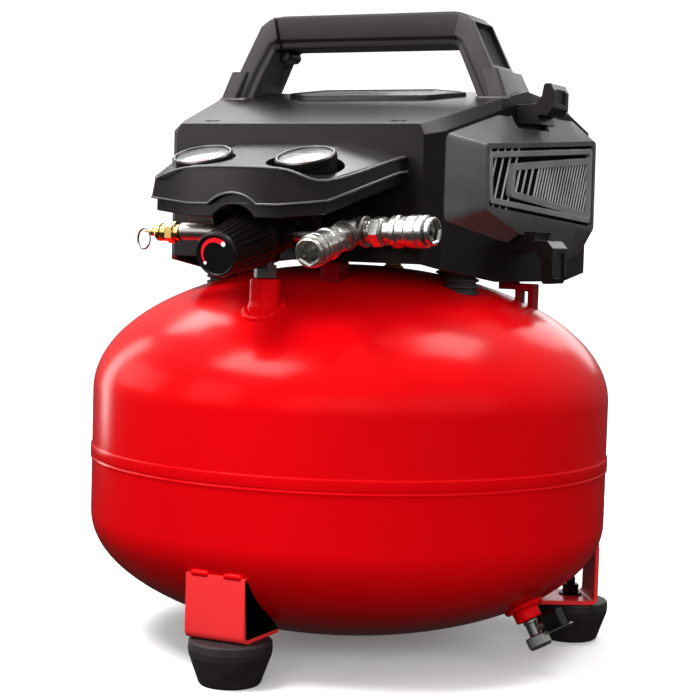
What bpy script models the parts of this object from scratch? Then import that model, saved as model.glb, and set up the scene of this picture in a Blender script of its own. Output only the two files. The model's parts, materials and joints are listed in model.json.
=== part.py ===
"""Pancake air compressor, as an assembly of separate parts.

Metres, +Z up, front towards -Y. Every size below is measured from the tank's axis, with the floor at
z = 0. The empty "tank_axis" carries all parts and moves that axis so that the centre of the whole
object's footprint is the origin.
"""

import math

import bmesh
import bpy
from mathutils import Matrix, Vector

# ---------------------------------------------------------------- driving dimensions
FRAME_SHIFT_Y = 0.007735     # from the footprint's centre to the tank's axis
GAP = 0.0003                 # clearance between touching parts

# tank
TANK_R = 0.1905
TANK_WALL = 0.0022
SEAM_Z = 0.1388
HALF_STRAIGHT = 0.0443       # straight height on each side of the seam
TOP_DOME = 0.0954
BOTTOM_DOME = 0.0850
SEAM_BAND = 0.0048           # half the height of the raised seam band
SEAM_PROUD = 0.0010
TANK_TOP_Z = SEAM_Z + HALF_STRAIGHT
TANK_BOTTOM_Z = SEAM_Z - HALF_STRAIGHT
TANK_SEGMENTS = 48

# legs and feet
FOOT_CIRCLE_R = 0.1715
FOOT_ANGLES = {"front": -90.0, "right": 30.0, "left": 150.0}
FOOT_TOP_R = 0.0280
FOOT_BOTTOM_R = 0.0210
FOOT_HEIGHT = 0.0300
FOOT_STRAIGHT = 0.0100       # upper part of the foot that doesn't taper
LEG_WIDTH = 0.0450
LEG_OFFSET = -0.0040         # the leg plate sits slightly to one side of the foot
LEG_PLATE_R = 0.1870
LEG_FLANGE = 0.0480
LEG_THICK = 0.0030
LEG_TOP_Z = 0.0745

# ports on the tank
RISER_Y = -0.1370
DRAIN_XY = (0.1500, -0.0200)
CHECK_XY = (-0.0200, 0.1120)
PORT_R = 0.0060
BUNG_R = 0.0125

# shroud: half width and height of the ridge at each station along Y
SHROUD_STATIONS = (          # y, ridge half width, ridge z, wall half width, wall foot z
    (-0.0980, 0.0930, 0.3760, 0.0965, 0.2820),
    (-0.0860, 0.0975, 0.3790, 0.1060, 0.2790),
    (-0.0100, 0.1150, 0.3990, 0.1175, 0.2700),
    (0.0240, 0.1225, 0.4070, 0.1245, 0.2700),
    (0.0900, 0.1270, 0.4020, 0.1325, 0.2700),
    (0.1280, 0.1220, 0.3910, 0.1350, 0.2760),
    (0.1460, 0.1000, 0.3800, 0.1060, 0.2800),
)
SHROUD_BAND = 0.0075         # drop from the ridge to the widest line of the wall
SHROUD_WALL = 0.0028
UPPER_Y = 0.0240             # centre of handle and cord hooks along Y
LABEL_PLATE_PROUD = 0.0022
LABEL_PLATE = ((-0.0480, -0.0098), (0.0520, -0.0098), (0.0780, 0.0060), (0.0450, 0.0215), (-0.0450, 0.0215),
               (-0.0700, 0.0060))

# handle: outer x, outer z, inner x, inner z, half depth
HANDLE_STATIONS = (
    (0.1170, 0.3880, 0.0985, 0.3880, 0.0285),
    (0.1085, 0.4215, 0.0815, 0.4215, 0.0270),
    (0.1020, 0.4225, 0.0805, 0.4225, 0.0235),
    (0.0862, 0.4550, 0.0700, 0.4360, 0.0212),
    (0.0780, 0.4622, 0.0660, 0.4382, 0.0190),
    (0.0700, 0.4640, 0.0600, 0.4390, 0.0178),
)
HANDLE_CHAMFER = 0.0040

# right cover
COVER_BASE = (               # y, z round the parting line, on the shroud's wall
    (-0.0860, 0.3110), (-0.0860, 0.3705), (-0.0100, 0.3900), (0.0240, 0.3960), (0.0900, 0.3935),
    (0.1275, 0.3825), (0.1235, 0.2880), (0.0900, 0.2820), (0.0240, 0.2925), (-0.0100, 0.2985),
)
COVER_FACE = (               # y, z round the grille's face, same order as the base
    (-0.0610, 0.3195), (-0.0650, 0.3650), (-0.0100, 0.3680), (0.0240, 0.3705), (0.0900, 0.3750),
    (0.1180, 0.3770), (0.1190, 0.3080), (0.0900, 0.3100), (0.0240, 0.3138), (-0.0100, 0.3160),
)
COVER_FACE_X = 0.1336        # of the face plane where y is 0
COVER_FACE_SLOPE = 0.093
LEFT_COVER_BASE = ((-0.0050, 0.3050), (-0.0050, 0.3780), (0.0240, 0.3850), (0.0900, 0.3860),
                   (0.0980, 0.3830), (0.0980, 0.3000), (0.0900, 0.3000), (0.0240, 0.3030))
LEFT_COVER_FACE = ((0.0060, 0.3150), (0.0060, 0.3680), (0.0300, 0.3740), (0.0800, 0.3750),
                   (0.0860, 0.3730), (0.0860, 0.3110), (0.0800, 0.3110), (0.0300, 0.3130))
LEFT_COVER_FACE_X = 0.1340
COVER_WALL = 0.0026
GRILLE_THICK = 0.0024

# cord hooks
HOOK_HALF_WIDTH = 0.0160
HOOK_END_X = 0.1485
HOOK_THICK = 0.0058
HOOK_TOP_Z = 0.3905
HOOK_BOTTOM_Z = 0.2985
HOOK_LIFT = 0.0210

# console
CONSOLE_TOP = ((0.0330, -0.1840, 0.3420), (0.0640, -0.1760, 0.3350), (0.0830, -0.1120, 0.3520),
               (0.0830, -0.0940, 0.3540))
CONSOLE_LIP = ((0.0330, -0.1850, 0.3180), (0.0660, -0.1770, 0.3215), (0.0850, -0.1125, 0.3420),
               (0.0850, -0.0940, 0.3440))
CONSOLE_FOOT_DROP = 0.0085
CONSOLE_FOOT_INSET = 0.0040
CONSOLE_RIDGE = (0.0400, -0.0940, 0.3640)
CONSOLE_WALL = 0.0025
ARCH_R = 0.0266
ARCH_Z = 0.2986

# gauges
GAUGE_X = 0.0390
GAUGE_Y = -0.1580
GAUGE_Z = 0.3520             # top of the bezel, on the gauge's axis
GAUGE_TILT = math.radians(20.0)
GAUGE_R = 0.0206
GAUGE_DEPTH = 0.0210

# manifold, regulator and couplers
PIPE_Y = -0.1370
PIPE_Z = 0.2995
PIPE_R = 0.0048
RISER_NECK_R = 0.0060
TILT = math.radians(13.0)    # knob and front coupler point this far below level
KNOB_FRONT = (0.0, -0.2040, 0.2850)
KNOB_LENGTH = 0.0500
KNOB_FRONT_R = 0.0148
KNOB_BACK_R = 0.0198
KNOB_FLUTES = 24
TEE = (0.0640, -0.1370, 0.3025)
COUPLER_LENGTH = 0.0500
COUPLER_BORE_R = 0.0058
SLEEVE_R = 0.0107
SLEEVE_TRAVEL = 0.0050

# relief valve
RELIEF_Z = 0.2985
RELIEF_X = -0.0672
RING_MEAN_R = 0.0071
RING_WIRE_R = 0.0006
RING_TURN = math.radians(-21.0)
RELIEF_HOLE_X = -0.0935

# pump
ISOLATOR_R = 0.0125
FRAME_Z = 0.2820             # underside of the pump's frame plate
FRAME_THICK = 0.0030
CRANK_Y = 0.0450
CRANK_Z = 0.3320
CRANK_THROW = 0.0090
BELT_X = -0.1010            # middle plane of the belt
ROD_X = BELT_X + 0.0410
ROD_LENGTH = 0.0285
CROWN_Y = 0.1010             # inside of the piston's crown when it is fully out
CYLINDER_BORE_R = 0.0235
MOTOR_Y = -0.0300
MOTOR_Z = 0.3360
FLYWHEEL_R = 0.0360
PINION_R = 0.0090
BELT_THICK = 0.0030
BELT_GAP = 0.0006
SHAFT_CLEARANCE = 0.0004

FRONT = Vector((0.0, -1.0, 0.0))
KNOB_AXIS = Vector((0.0, -math.cos(TILT), -math.sin(TILT)))
GAUGE_AXIS = Vector((0.0, -math.sin(GAUGE_TILT), math.cos(GAUGE_TILT)))
COUPLER_RIGHT_AXIS = Vector((0.996, -0.087, 0.030)).normalized()


# ---------------------------------------------------------------- scene and materials
def clear_scene():
    for item in list(bpy.data.objects):
        bpy.data.objects.remove(item, do_unlink=True)


def make_material(name, colour, roughness, metallic=0.0):
    material = bpy.data.materials.new(name)
    material.use_nodes = True
    shader = material.node_tree.nodes["Principled BSDF"]
    shader.inputs["Base Color"].default_value = (*colour, 1.0)
    shader.inputs["Roughness"].default_value = roughness
    shader.inputs["Metallic"].default_value = metallic
    material.diffuse_color = (*colour, 1.0)
    return material


clear_scene()
RED = make_material("red_powder_coat", (0.70, 0.010, 0.012), 0.25)
BLACK = make_material("black_plastic", (0.022, 0.022, 0.023), 0.50)
GREY = make_material("dark_grey_plastic", (0.055, 0.056, 0.060), 0.45)
RUBBER = make_material("black_rubber", (0.030, 0.028, 0.028), 0.75)
STEEL = make_material("nickel_plated_steel", (0.62, 0.61, 0.58), 0.22, 1.0)
BRASS = make_material("brass", (0.72, 0.52, 0.20), 0.28, 1.0)
ALUMINIUM = make_material("cast_aluminium", (0.56, 0.57, 0.58), 0.45, 1.0)
IRON = make_material("motor_steel", (0.20, 0.20, 0.21), 0.45, 1.0)
DIAL = make_material("gauge_case", (0.030, 0.030, 0.032), 0.35)
LENS = make_material("clear_lens", (0.85, 0.90, 0.92), 0.05)
NEEDLE = make_material("needle_paint", (0.60, 0.02, 0.02), 0.40)
ISOLATOR = make_material("grey_isolator_rubber", (0.16, 0.16, 0.17), 0.70)
COPPER = make_material("copper_tube", (0.62, 0.30, 0.18), 0.30, 1.0)

TANK_AXIS = bpy.data.objects.new("tank_axis", None)
bpy.context.collection.objects.link(TANK_AXIS)
TANK_AXIS.location = (0.0, FRAME_SHIFT_Y, 0.0)


# ---------------------------------------------------------------- modelling helpers
def add_object(name, mesh_bm, material, location=(0.0, 0.0, 0.0), direction=None, smooth=None):
    """Turn a bmesh into a named object; its local +Z is turned to direction."""
    bmesh.ops.recalc_face_normals(mesh_bm, faces=mesh_bm.faces)
    mesh = bpy.data.meshes.new(name)
    mesh_bm.to_mesh(mesh)
    mesh_bm.free()
    item = bpy.data.objects.new(name, mesh)
    bpy.context.collection.objects.link(item)
    item.parent = TANK_AXIS
    item.location = location
    if direction is not None:
        item.rotation_mode = "QUATERNION"
        item.rotation_quaternion = Vector(direction).to_track_quat("Z", "Y")
    if material is not None:
        mesh.materials.append(material)
    if smooth is not None:
        mesh.shade_smooth()
        mesh.set_sharp_from_angle(angle=math.radians(smooth))
    return item


def boolean(target, tool, operation="DIFFERENCE"):
    modifier = target.modifiers.new(tool.name, "BOOLEAN")
    modifier.operation = operation
    modifier.object = tool
    modifier.solver = "EXACT"
    tool.hide_render = True
    tool.display_type = "WIRE"


def box(bounds, matrix=None):
    """Box from ((x0, x1), (y0, y1), (z0, z1))."""
    shape = bmesh.new()
    size = [high - low for low, high in bounds]
    centre = [(high + low) / 2.0 for low, high in bounds]
    bmesh.ops.create_cube(shape, size=1.0)
    bmesh.ops.transform(shape, matrix=Matrix.Diagonal((*size, 1.0)), verts=shape.verts)
    bmesh.ops.translate(shape, vec=centre, verts=shape.verts)
    if matrix is not None:
        bmesh.ops.transform(shape, matrix=matrix, verts=shape.verts)
    return shape


def lathe(profile, segments=24, radius_at=None):
    """Solid of revolution about +Z from (radius, z) points, which run from one pole to the other."""
    shape = bmesh.new()
    rings = []
    for radius, height in profile:
        if radius < 1e-7:
            rings.append([shape.verts.new((0.0, 0.0, height))])
            continue
        ring = []
        for step in range(segments):
            angle = 2.0 * math.pi * step / segments
            reach = radius if radius_at is None else radius_at(radius, height, step)
            ring.append(shape.verts.new((reach * math.cos(angle), reach * math.sin(angle), height)))
        rings.append(ring)
    for lower, upper in zip(rings, rings[1:]):
        for step in range(segments):
            after = (step + 1) % segments
            corners = [lower[step % len(lower)], lower[after % len(lower)],
                       upper[after % len(upper)], upper[step % len(upper)]]
            face = list(dict.fromkeys(corners))
            if len(face) > 2:
                shape.faces.new(face)
    return shape


def tube(outer, inner, low, high, segments=24):
    """Ring about +Z with square ends."""
    return ring_lathe([(outer, low), (outer, high), (inner, high), (inner, low)], segments)


def ring_lathe(profile, segments=24):
    """Solid of revolution with a through hole: the (radius, z) points form a closed loop."""
    shape = bmesh.new()
    loops = []
    for radius, height in profile:
        loops.append([
            shape.verts.new((radius * math.cos(2.0 * math.pi * step / segments),
                             radius * math.sin(2.0 * math.pi * step / segments), height))
            for step in range(segments)
        ])
    for index, lower in enumerate(loops):
        upper = loops[(index + 1) % len(loops)]
        for step in range(segments):
            after = (step + 1) % segments
            shape.faces.new([lower[step], lower[after], upper[after], upper[step]])
    return shape


def cylinder(radius, low, high, segments=24):
    return lathe([(0.0, low), (radius, low), (radius, high), (0.0, high)], segments)


def loft(rings, caps=True):
    """Skin closed rings of equal length; the first and last are capped."""
    shape = bmesh.new()
    loops = [[shape.verts.new(point) for point in ring] for ring in rings]
    count = len(loops[0])
    for lower, upper in zip(loops, loops[1:]):
        for step in range(count):
            after = (step + 1) % count
            shape.faces.new([lower[step], lower[after], upper[after], upper[step]])
    if caps:
        shape.faces.new(loops[0])
        shape.faces.new(loops[-1])
    return shape


def prism_x(outline, low, high):
    """Outline of (y, z) points, extruded along X."""
    return loft([[(low, y, z) for y, z in outline], [(high, y, z) for y, z in outline]])


def tank_height(x, y):
    """Height of the tank's upper surface."""
    return TANK_TOP_Z + TOP_DOME * math.sqrt(1.0 - (x * x + y * y) / TANK_R**2)


def tank_profile(offset, steps):
    """Half outline of the tank, bottom pole to top pole, grown by offset."""
    points = []
    for step in range(steps + 1):
        angle = -math.pi / 2.0 + (math.pi / 2.0) * step / steps
        points.append(((TANK_R + offset) * math.cos(angle),
                       TANK_BOTTOM_Z + (BOTTOM_DOME + offset) * math.sin(angle)))
    if offset >= 0.0:
        for height, proud in ((-SEAM_BAND, 0.0), (-SEAM_BAND, SEAM_PROUD),
                              (SEAM_BAND, SEAM_PROUD), (SEAM_BAND, 0.0)):
            slope = 0.0008 if proud == 0.0 else 0.0
            level = SEAM_Z + height + math.copysign(slope, height)
            points.append((TANK_R + offset + proud, level))
    for step in range(steps + 1):
        angle = (math.pi / 2.0) * step / steps
        points.append(((TANK_R + offset) * math.cos(angle),
                       TANK_TOP_Z + (TOP_DOME + offset) * math.sin(angle)))
    return points


def bottom_normal(x, y):
    """Point on the tank's lower dome and the outward direction there."""
    height = TANK_BOTTOM_Z - BOTTOM_DOME * math.sqrt(1.0 - (x * x + y * y) / TANK_R**2)
    normal = Vector((x / TANK_R**2, y / TANK_R**2, (height - TANK_BOTTOM_Z) / BOTTOM_DOME**2))
    return Vector((x, y, height)), normal.normalized()


# ---------------------------------------------------------------- tank, legs and feet
ENVELOPE = add_object("cut_tank_envelope", lathe(tank_profile(GAP, 12), TANK_SEGMENTS), None)


def build_tank():
    tank = add_object("tank", lathe(tank_profile(0.0, 10), TANK_SEGMENTS), RED, smooth=25)
    drain_point, drain_axis = bottom_normal(*DRAIN_XY)
    check_top = tank_height(*CHECK_XY)
    riser_top = tank_height(0.0, RISER_Y)
    ports = (
        ("riser", (0.0, RISER_Y, riser_top - 0.006), (0.0, 0.0, 1.0), 0.0260),
        ("check", (*CHECK_XY, check_top - 0.006), (0.0, 0.0, 1.0), 0.0160),
        ("drain", tuple(drain_point - drain_axis * 0.006), tuple(drain_axis), 0.0165),
    )
    for name, place, axis, length in ports:
        flare = [(0.0, 0.0), (BUNG_R * 1.25, 0.0), (BUNG_R, 0.009), (BUNG_R, length), (0.0, length)]
        bung = add_object("join_bung_" + name, lathe(flare, 20), None, place, axis)
        boolean(tank, bung, "UNION")
    hollow = add_object("cut_tank_hollow", lathe(tank_profile(-TANK_WALL, 6), TANK_SEGMENTS), None)
    boolean(tank, hollow)
    for name, place, axis, length in ports:
        hole = add_object("cut_port_" + name, cylinder(PORT_R, -0.012, length + 0.004, 16),
                          None, place, axis)
        boolean(tank, hole)


def build_leg(name, angle):
    """Bent plate welded to the tank, a rubber foot under its flange and the bolt that holds it."""
    turn = Matrix.Rotation(math.radians(angle + 90.0), 4, "Z")
    half = LEG_WIDTH / 2.0
    side = (LEG_OFFSET - half, LEG_OFFSET + half)
    flange_z = FOOT_HEIGHT + GAP
    outline = (
        (-LEG_PLATE_R, flange_z + LEG_THICK), (-LEG_PLATE_R, LEG_TOP_Z),
        (-LEG_PLATE_R + LEG_THICK, LEG_TOP_Z), (-LEG_PLATE_R + LEG_THICK, flange_z + LEG_THICK * 2.0),
        (-LEG_PLATE_R + LEG_THICK * 2.0, flange_z + LEG_THICK),
        (-LEG_PLATE_R + LEG_FLANGE, flange_z + LEG_THICK), (-LEG_PLATE_R + LEG_FLANGE, flange_z),
        (-LEG_PLATE_R + LEG_THICK, flange_z),
    )
    shape = prism_x(outline, *side)
    bmesh.ops.transform(shape, matrix=turn, verts=shape.verts)
    leg = add_object("leg_" + name, shape, RED)
    boolean(leg, ENVELOPE)

    centre = turn @ Vector((0.0, -FOOT_CIRCLE_R, 0.0))
    profile = [(0.0, 0.0), (FOOT_BOTTOM_R - 0.002, 0.0), (FOOT_BOTTOM_R, 0.002),
               (FOOT_TOP_R, FOOT_HEIGHT - FOOT_STRAIGHT), (FOOT_TOP_R, FOOT_HEIGHT - 0.002),
               (FOOT_TOP_R - 0.002, FOOT_HEIGHT), (0.0, FOOT_HEIGHT)]
    add_object("foot_" + name, lathe(profile, 32), RUBBER, centre, smooth=35)
    washer_z = flange_z + LEG_THICK + GAP
    head = [(0.0, 0.0), (0.0088, 0.0), (0.0088, 0.0018), (0.0064, 0.0018), (0.0064, 0.0072),
            (0.0050, 0.0084), (0.0, 0.0084)]
    add_object("foot_bolt_" + name, lathe(head, 18), IRON, centre + Vector((0.0, 0.0, washer_z)))


# ---------------------------------------------------------------- shroud and its trim
def shroud_shape(grow=0.0, bottom=False):
    """Shroud's outer surface from its foot up, grown by grow; bottom closes it to a solid."""
    foot, widest, ridge = [], [], []
    last = len(SHROUD_STATIONS) - 1
    for sign in (1.0, -1.0):
        order = range(last + 1) if sign > 0.0 else range(last, -1, -1)
        for index in order:
            y, ridge_x, ridge_z, wall_x, foot_z = SHROUD_STATIONS[index]
            y += grow * ((index == last) - (index == 0))
            foot.append((sign * (wall_x + grow), y, foot_z - grow))
            widest.append((sign * (wall_x + grow), y, ridge_z - SHROUD_BAND))
            ridge.append((sign * (ridge_x + grow), y, ridge_z + grow))
    shape = bmesh.new()
    loops = [[shape.verts.new(point) for point in ring] for ring in (foot, widest, ridge)]
    count = len(ridge)
    for lower, upper in zip(loops, loops[1:]):
        for step in range(count):
            after = (step + 1) % count
            shape.faces.new([lower[step], lower[after], upper[after], upper[step]])
    for ring in (loops[-1], loops[0]) if bottom else (loops[-1],):
        for step in range(last):
            shape.faces.new([ring[step], ring[step + 1], ring[count - 2 - step], ring[count - 1 - step]])
    return shape


SHROUD_ENVELOPE = add_object("cut_shroud_envelope", shroud_shape(GAP, bottom=True), None)


def build_shroud():
    shape = shroud_shape()
    shroud = add_object("shroud", shape, BLACK)
    shell = shroud.modifiers.new("wall", "SOLIDIFY")
    shell.thickness = SHROUD_WALL
    shell.offset = -1.0
    shell.use_even_offset = True

    plate = loft([[(x, y, top_z(y) - 0.0015) for x, y in LABEL_PLATE],
                  [(x, y, top_z(y) + LABEL_PLATE_PROUD) for x, y in LABEL_PLATE]])
    boolean(shroud, add_object("join_label_plate", plate, None), "UNION")
    windows = {
        "fan": ((0.1000, 0.1400), (-0.0450, 0.0950), (0.3080, 0.3700)),
        "vent": ((-0.1400, -0.1000), (0.0000, 0.0920), (0.3080, 0.3720)),
        "exhaust": ((-0.0750, 0.0300), (0.1350, 0.1600), (0.3050, 0.3560)),
    }
    for name, bounds in windows.items():
        boolean(shroud, add_object("cut_window_" + name, box(bounds), None))


def at_station(y, column):
    """One column of the shroud's stations, interpolated at y."""
    for near, far in zip(SHROUD_STATIONS, SHROUD_STATIONS[1:]):
        if near[0] <= y <= far[0]:
            share = (y - near[0]) / (far[0] - near[0])
            return near[column] + share * (far[column] - near[column])
    raise ValueError("y lies off the shroud")


def top_z(y):
    """Height of the shroud's top surface."""
    return at_station(y, 2)


def root_x(y):
    """Half width just inside the shroud's wall, where parts that are trimmed to the wall start."""
    return at_station(y, 3) - 0.0030


def build_handle():
    rings = []
    sides = [(1.0, station) for station in HANDLE_STATIONS]
    sides += [(-1.0, station) for station in reversed(HANDLE_STATIONS)]
    for sign, (outer_x, outer_z, inner_x, inner_z, half) in sides:
        outer = Vector((sign * outer_x, 0.0, outer_z))
        inner = Vector((sign * inner_x, 0.0, inner_z))
        across = (inner - outer).normalized() * HANDLE_CHAMFER
        short = half - HANDLE_CHAMFER
        ring = []
        for point, depth in ((outer, -short), (outer + across, -half), (inner - across, -half),
                             (inner, -short), (inner, short), (inner - across, half),
                             (outer + across, half), (outer, short)):
            ring.append((point.x, UPPER_Y + depth, point.z))
        rings.append(ring)
    handle = add_object("handle", loft(rings), BLACK)
    boolean(handle, SHROUD_ENVELOPE)


def cover_shell(name, base, face, wall, mirror=1.0):
    """Open-backed truncated pyramid between a parting line and a flat outer face."""
    shape = bmesh.new()
    loops = [[shape.verts.new((mirror * x, y, z)) for x, y, z in ring] for ring in (base, face)]
    count = len(base)
    for step in range(count):
        after = (step + 1) % count
        shape.faces.new([loops[0][step], loops[0][after], loops[1][after], loops[1][step]])
    shape.faces.new(loops[1])
    bmesh.ops.triangulate(shape, faces=shape.faces)
    bmesh.ops.recalc_face_normals(shape, faces=shape.faces)
    outward = sum((face_item.normal.x for face_item in shape.faces), 0.0) * mirror
    if outward < 0.0:
        bmesh.ops.reverse_faces(shape, faces=shape.faces)
    mesh = bpy.data.meshes.new(name)
    shape.to_mesh(mesh)
    shape.free()
    item = bpy.data.objects.new(name, mesh)
    bpy.context.collection.objects.link(item)
    item.parent = TANK_AXIS
    mesh.materials.append(GREY)
    shell = item.modifiers.new("wall", "SOLIDIFY")
    shell.thickness = wall
    shell.offset = -1.0
    boolean(item, SHROUD_ENVELOPE)
    return item


def build_right_cover():
    base = [(root_x(y), y, z) for y, z in COVER_BASE]
    face = [(COVER_FACE_X + COVER_FACE_SLOPE * y, y, z) for y, z in COVER_FACE]
    cover = cover_shell("right_cover", base, face, COVER_WALL)
    window = box(((0.1100, 0.1600), (-0.0460, 0.1040), (0.3250, 0.3610)))
    boolean(cover, add_object("cut_cover_window", window, None))
    notches = {
        "top": ((0.1000, 0.1600), (0.0040, 0.0440), (0.3830, 0.4000)),
        "bottom": ((0.1000, 0.1600), (0.0040, 0.0440), (0.2800, 0.3050)),
    }
    for name, bounds in notches.items():
        boolean(cover, add_object("cut_cover_notch_" + name, box(bounds), None))


def build_grille():
    """Louvred panel behind the cover's window."""
    low, high = (-0.0510, 0.1090)
    slant = math.atan(COVER_FACE_SLOPE)
    back_x = COVER_FACE_X + COVER_FACE_SLOPE * low - COVER_WALL - GRILLE_THICK - 0.0008
    frame = Matrix.Translation((back_x, low, 0.0)) @ Matrix.Rotation(-slant, 4, "Z")
    length = (high - low) / math.cos(slant)
    plate = box(((0.0, GRILLE_THICK), (0.0, length), (0.3215, 0.3640)), frame)
    panel = add_object("right_grille", plate, GREY)
    count = 9
    pitch = (length - 0.020) / count
    for index in range(count):
        start = 0.010 + index * pitch
        slot = box(((-0.01, 0.01), (start + 0.004, start + pitch - 0.004), (0.3265, 0.3595)), frame)
        boolean(panel, add_object(f"cut_grille_slot_{index}", slot, None))


def build_left_cover():
    """Vented cover over the cylinder side."""
    base = [(root_x(y), y, z) for y, z in LEFT_COVER_BASE]
    face = [(LEFT_COVER_FACE_X + COVER_FACE_SLOPE * y, y, z) for y, z in LEFT_COVER_FACE]
    cover = cover_shell("left_cover", base, face, 0.0024, mirror=-1.0)
    for index in range(5):
        low = 0.3210 + index * 0.0092
        slot = box(((-0.15, -0.12), (0.0140, 0.0780), (low, low + 0.0044)))
        boolean(cover, add_object(f"cut_left_slot_{index}", slot, None))


def build_hook(name, shelf_z, rise):
    """Shelf with an upright tab at its outer end; the supply cord is wound round the pair."""
    thick = math.copysign(HOOK_THICK, rise)
    inner_x = HOOK_END_X - HOOK_THICK
    rings = []
    for y in (UPPER_Y - HOOK_HALF_WIDTH, UPPER_Y + HOOK_HALF_WIDTH):
        outline = [(root_x(y), shelf_z), (HOOK_END_X, shelf_z), (HOOK_END_X, shelf_z + rise),
                   (inner_x, shelf_z + rise), (inner_x, shelf_z + thick * 1.6),
                   (inner_x - HOOK_THICK * 0.6, shelf_z + thick), (root_x(y), shelf_z + thick)]
        rings.append([(x, y, z) for x, z in outline])
    boolean(add_object(name, loft(rings), BLACK), SHROUD_ENVELOPE)


# ---------------------------------------------------------------- console and gauges
def build_console():
    """Open-bottomed cowl with two gauges in its top and an arch over the regulator knob."""
    def ring(points, drop=0.0, inset=0.0):
        right = [(x - inset, y + (inset if y < -0.1 else 0.0), z - drop) for x, y, z in points]
        left = [(-x, y, z) for x, y, z in reversed(right)]
        return right + left

    shape = bmesh.new()
    levels = [ring(CONSOLE_LIP, CONSOLE_FOOT_DROP, CONSOLE_FOOT_INSET), ring(CONSOLE_LIP), ring(CONSOLE_TOP)]
    loops = [[shape.verts.new(point) for point in level] for level in levels]
    count = len(loops[0])
    for lower, upper in zip(loops, loops[1:]):
        for step in range(count):
            if step == count // 2 - 1:
                continue
            after = (step + 1) % count
            shape.faces.new([lower[step], lower[after], upper[after], upper[step]])
    top = loops[-1]
    ridge_x, ridge_y, ridge_z = CONSOLE_RIDGE
    ridge = [shape.verts.new((sign * ridge_x, ridge_y, ridge_z)) for sign in (1.0, -1.0)]
    shape.faces.new([top[0], top[1], top[2], top[3], ridge[0]])
    shape.faces.new([top[7], ridge[1], top[4], top[5], top[6]])
    shape.faces.new([top[0], ridge[0], ridge[1], top[7]])
    bmesh.ops.triangulate(shape, faces=[face for face in shape.faces if len(face.verts) > 4])
    console = add_object("console", shape, BLACK)
    shell = console.modifiers.new("wall", "SOLIDIFY")
    shell.thickness = CONSOLE_WALL
    shell.offset = -1.0
    arch = add_object("cut_knob_arch", cylinder(ARCH_R, 0.0, 0.030, 32), None,
                      (0.0, -0.170, ARCH_Z), FRONT)
    boolean(console, arch)
    boolean(console, SHROUD_ENVELOPE)
    for name, sign in (("left", -1.0), ("right", 1.0)):
        centre = Vector((sign * GAUGE_X, GAUGE_Y, GAUGE_Z))
        bore = add_object("cut_gauge_" + name, cylinder(GAUGE_R + GAP * 2.0, -0.040, 0.020, 32),
                          None, centre, GAUGE_AXIS)
        boolean(console, bore)


def build_gauge(name, sign):
    """Case with bezel and dial floor, needle on a spindle, and a lens let into the bezel."""
    centre = Vector((sign * GAUGE_X, GAUGE_Y, GAUGE_Z))
    floor_z = -0.0060
    case = [(0.0, -GAUGE_DEPTH), (GAUGE_R - 0.004, -GAUGE_DEPTH), (GAUGE_R - 0.001, -GAUGE_DEPTH + 0.003),
            (GAUGE_R - 0.001, -0.0040), (GAUGE_R, -0.0035), (GAUGE_R, -0.0010), (GAUGE_R - 0.001, 0.0),
            (GAUGE_R - 0.0026, 0.0), (GAUGE_R - 0.0026, floor_z), (0.0, floor_z)]
    add_object("gauge_case_" + name, lathe(case, 32), DIAL, centre, GAUGE_AXIS, smooth=35)
    lens_r = GAUGE_R - 0.0026 - GAP
    lens = lathe([(0.0, -0.0022), (lens_r, -0.0022), (lens_r, -0.0010), (0.0, -0.0006)], 32)
    add_object("gauge_lens_" + name, lens, LENS, centre, GAUGE_AXIS, smooth=35)

    hub = centre + GAUGE_AXIS * (floor_z + GAP)
    half, reach, tail, thick = 0.0011, 0.0145, 0.0045, 0.0007
    level = 0.0011
    start = math.radians(225.0)
    outline = [(-tail, -half), (reach * 0.7, -half), (reach, 0.0), (reach * 0.7, half), (-tail, half)]
    pointer = loft([[(x, y, level) for x, y in outline], [(x, y, level + thick) for x, y in outline]])
    bmesh.ops.rotate(pointer, matrix=Matrix.Rotation(start, 3, "Z"), verts=pointer.verts)
    needle = add_object("gauge_needle_" + name, pointer, NEEDLE, hub, GAUGE_AXIS)
    boss = add_object("join_needle_boss_" + name, cylinder(0.0020, 0.0, level + thick * 1.5, 12),
                      None, hub, GAUGE_AXIS)
    boolean(needle, boss, "UNION")


# ---------------------------------------------------------------- manifold, regulator, couplers
def build_manifold():
    """Cross pipe with a tee for the two couplers, and the riser that feeds it from the tank."""
    pipe = add_object("manifold", cylinder(PIPE_R, -0.0664, 0.0640, 20), STEEL,
                      (0.0, PIPE_Y, PIPE_Z), (1.0, 0.0, 0.0), smooth=35)
    hub = add_object("join_tee_hub", lathe([(0.0, -0.010), (0.0075, -0.010), (0.0095, -0.007),
                                            (0.0095, 0.013), (0.0, 0.013)], 24),
                     None, TEE, KNOB_AXIS)
    branch = add_object("join_tee_branch", cylinder(0.0088, 0.0, 0.0120, 24), None, TEE, COUPLER_RIGHT_AXIS)
    for tool in (hub, branch):
        boolean(pipe, tool, "UNION")

    foot_z = tank_height(0.0, RISER_Y) + 0.0200 + GAP
    neck_top = PIPE_Z - PIPE_R - GAP - foot_z
    nipple = [(0.0, 0.0), (0.0075, 0.0), (0.0075, 0.0100), (RISER_NECK_R, 0.0100), (RISER_NECK_R, neck_top),
              (0.0, neck_top)]
    add_object("riser_nipple", lathe(nipple, 6), STEEL, (0.0, RISER_Y, foot_z))


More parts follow.
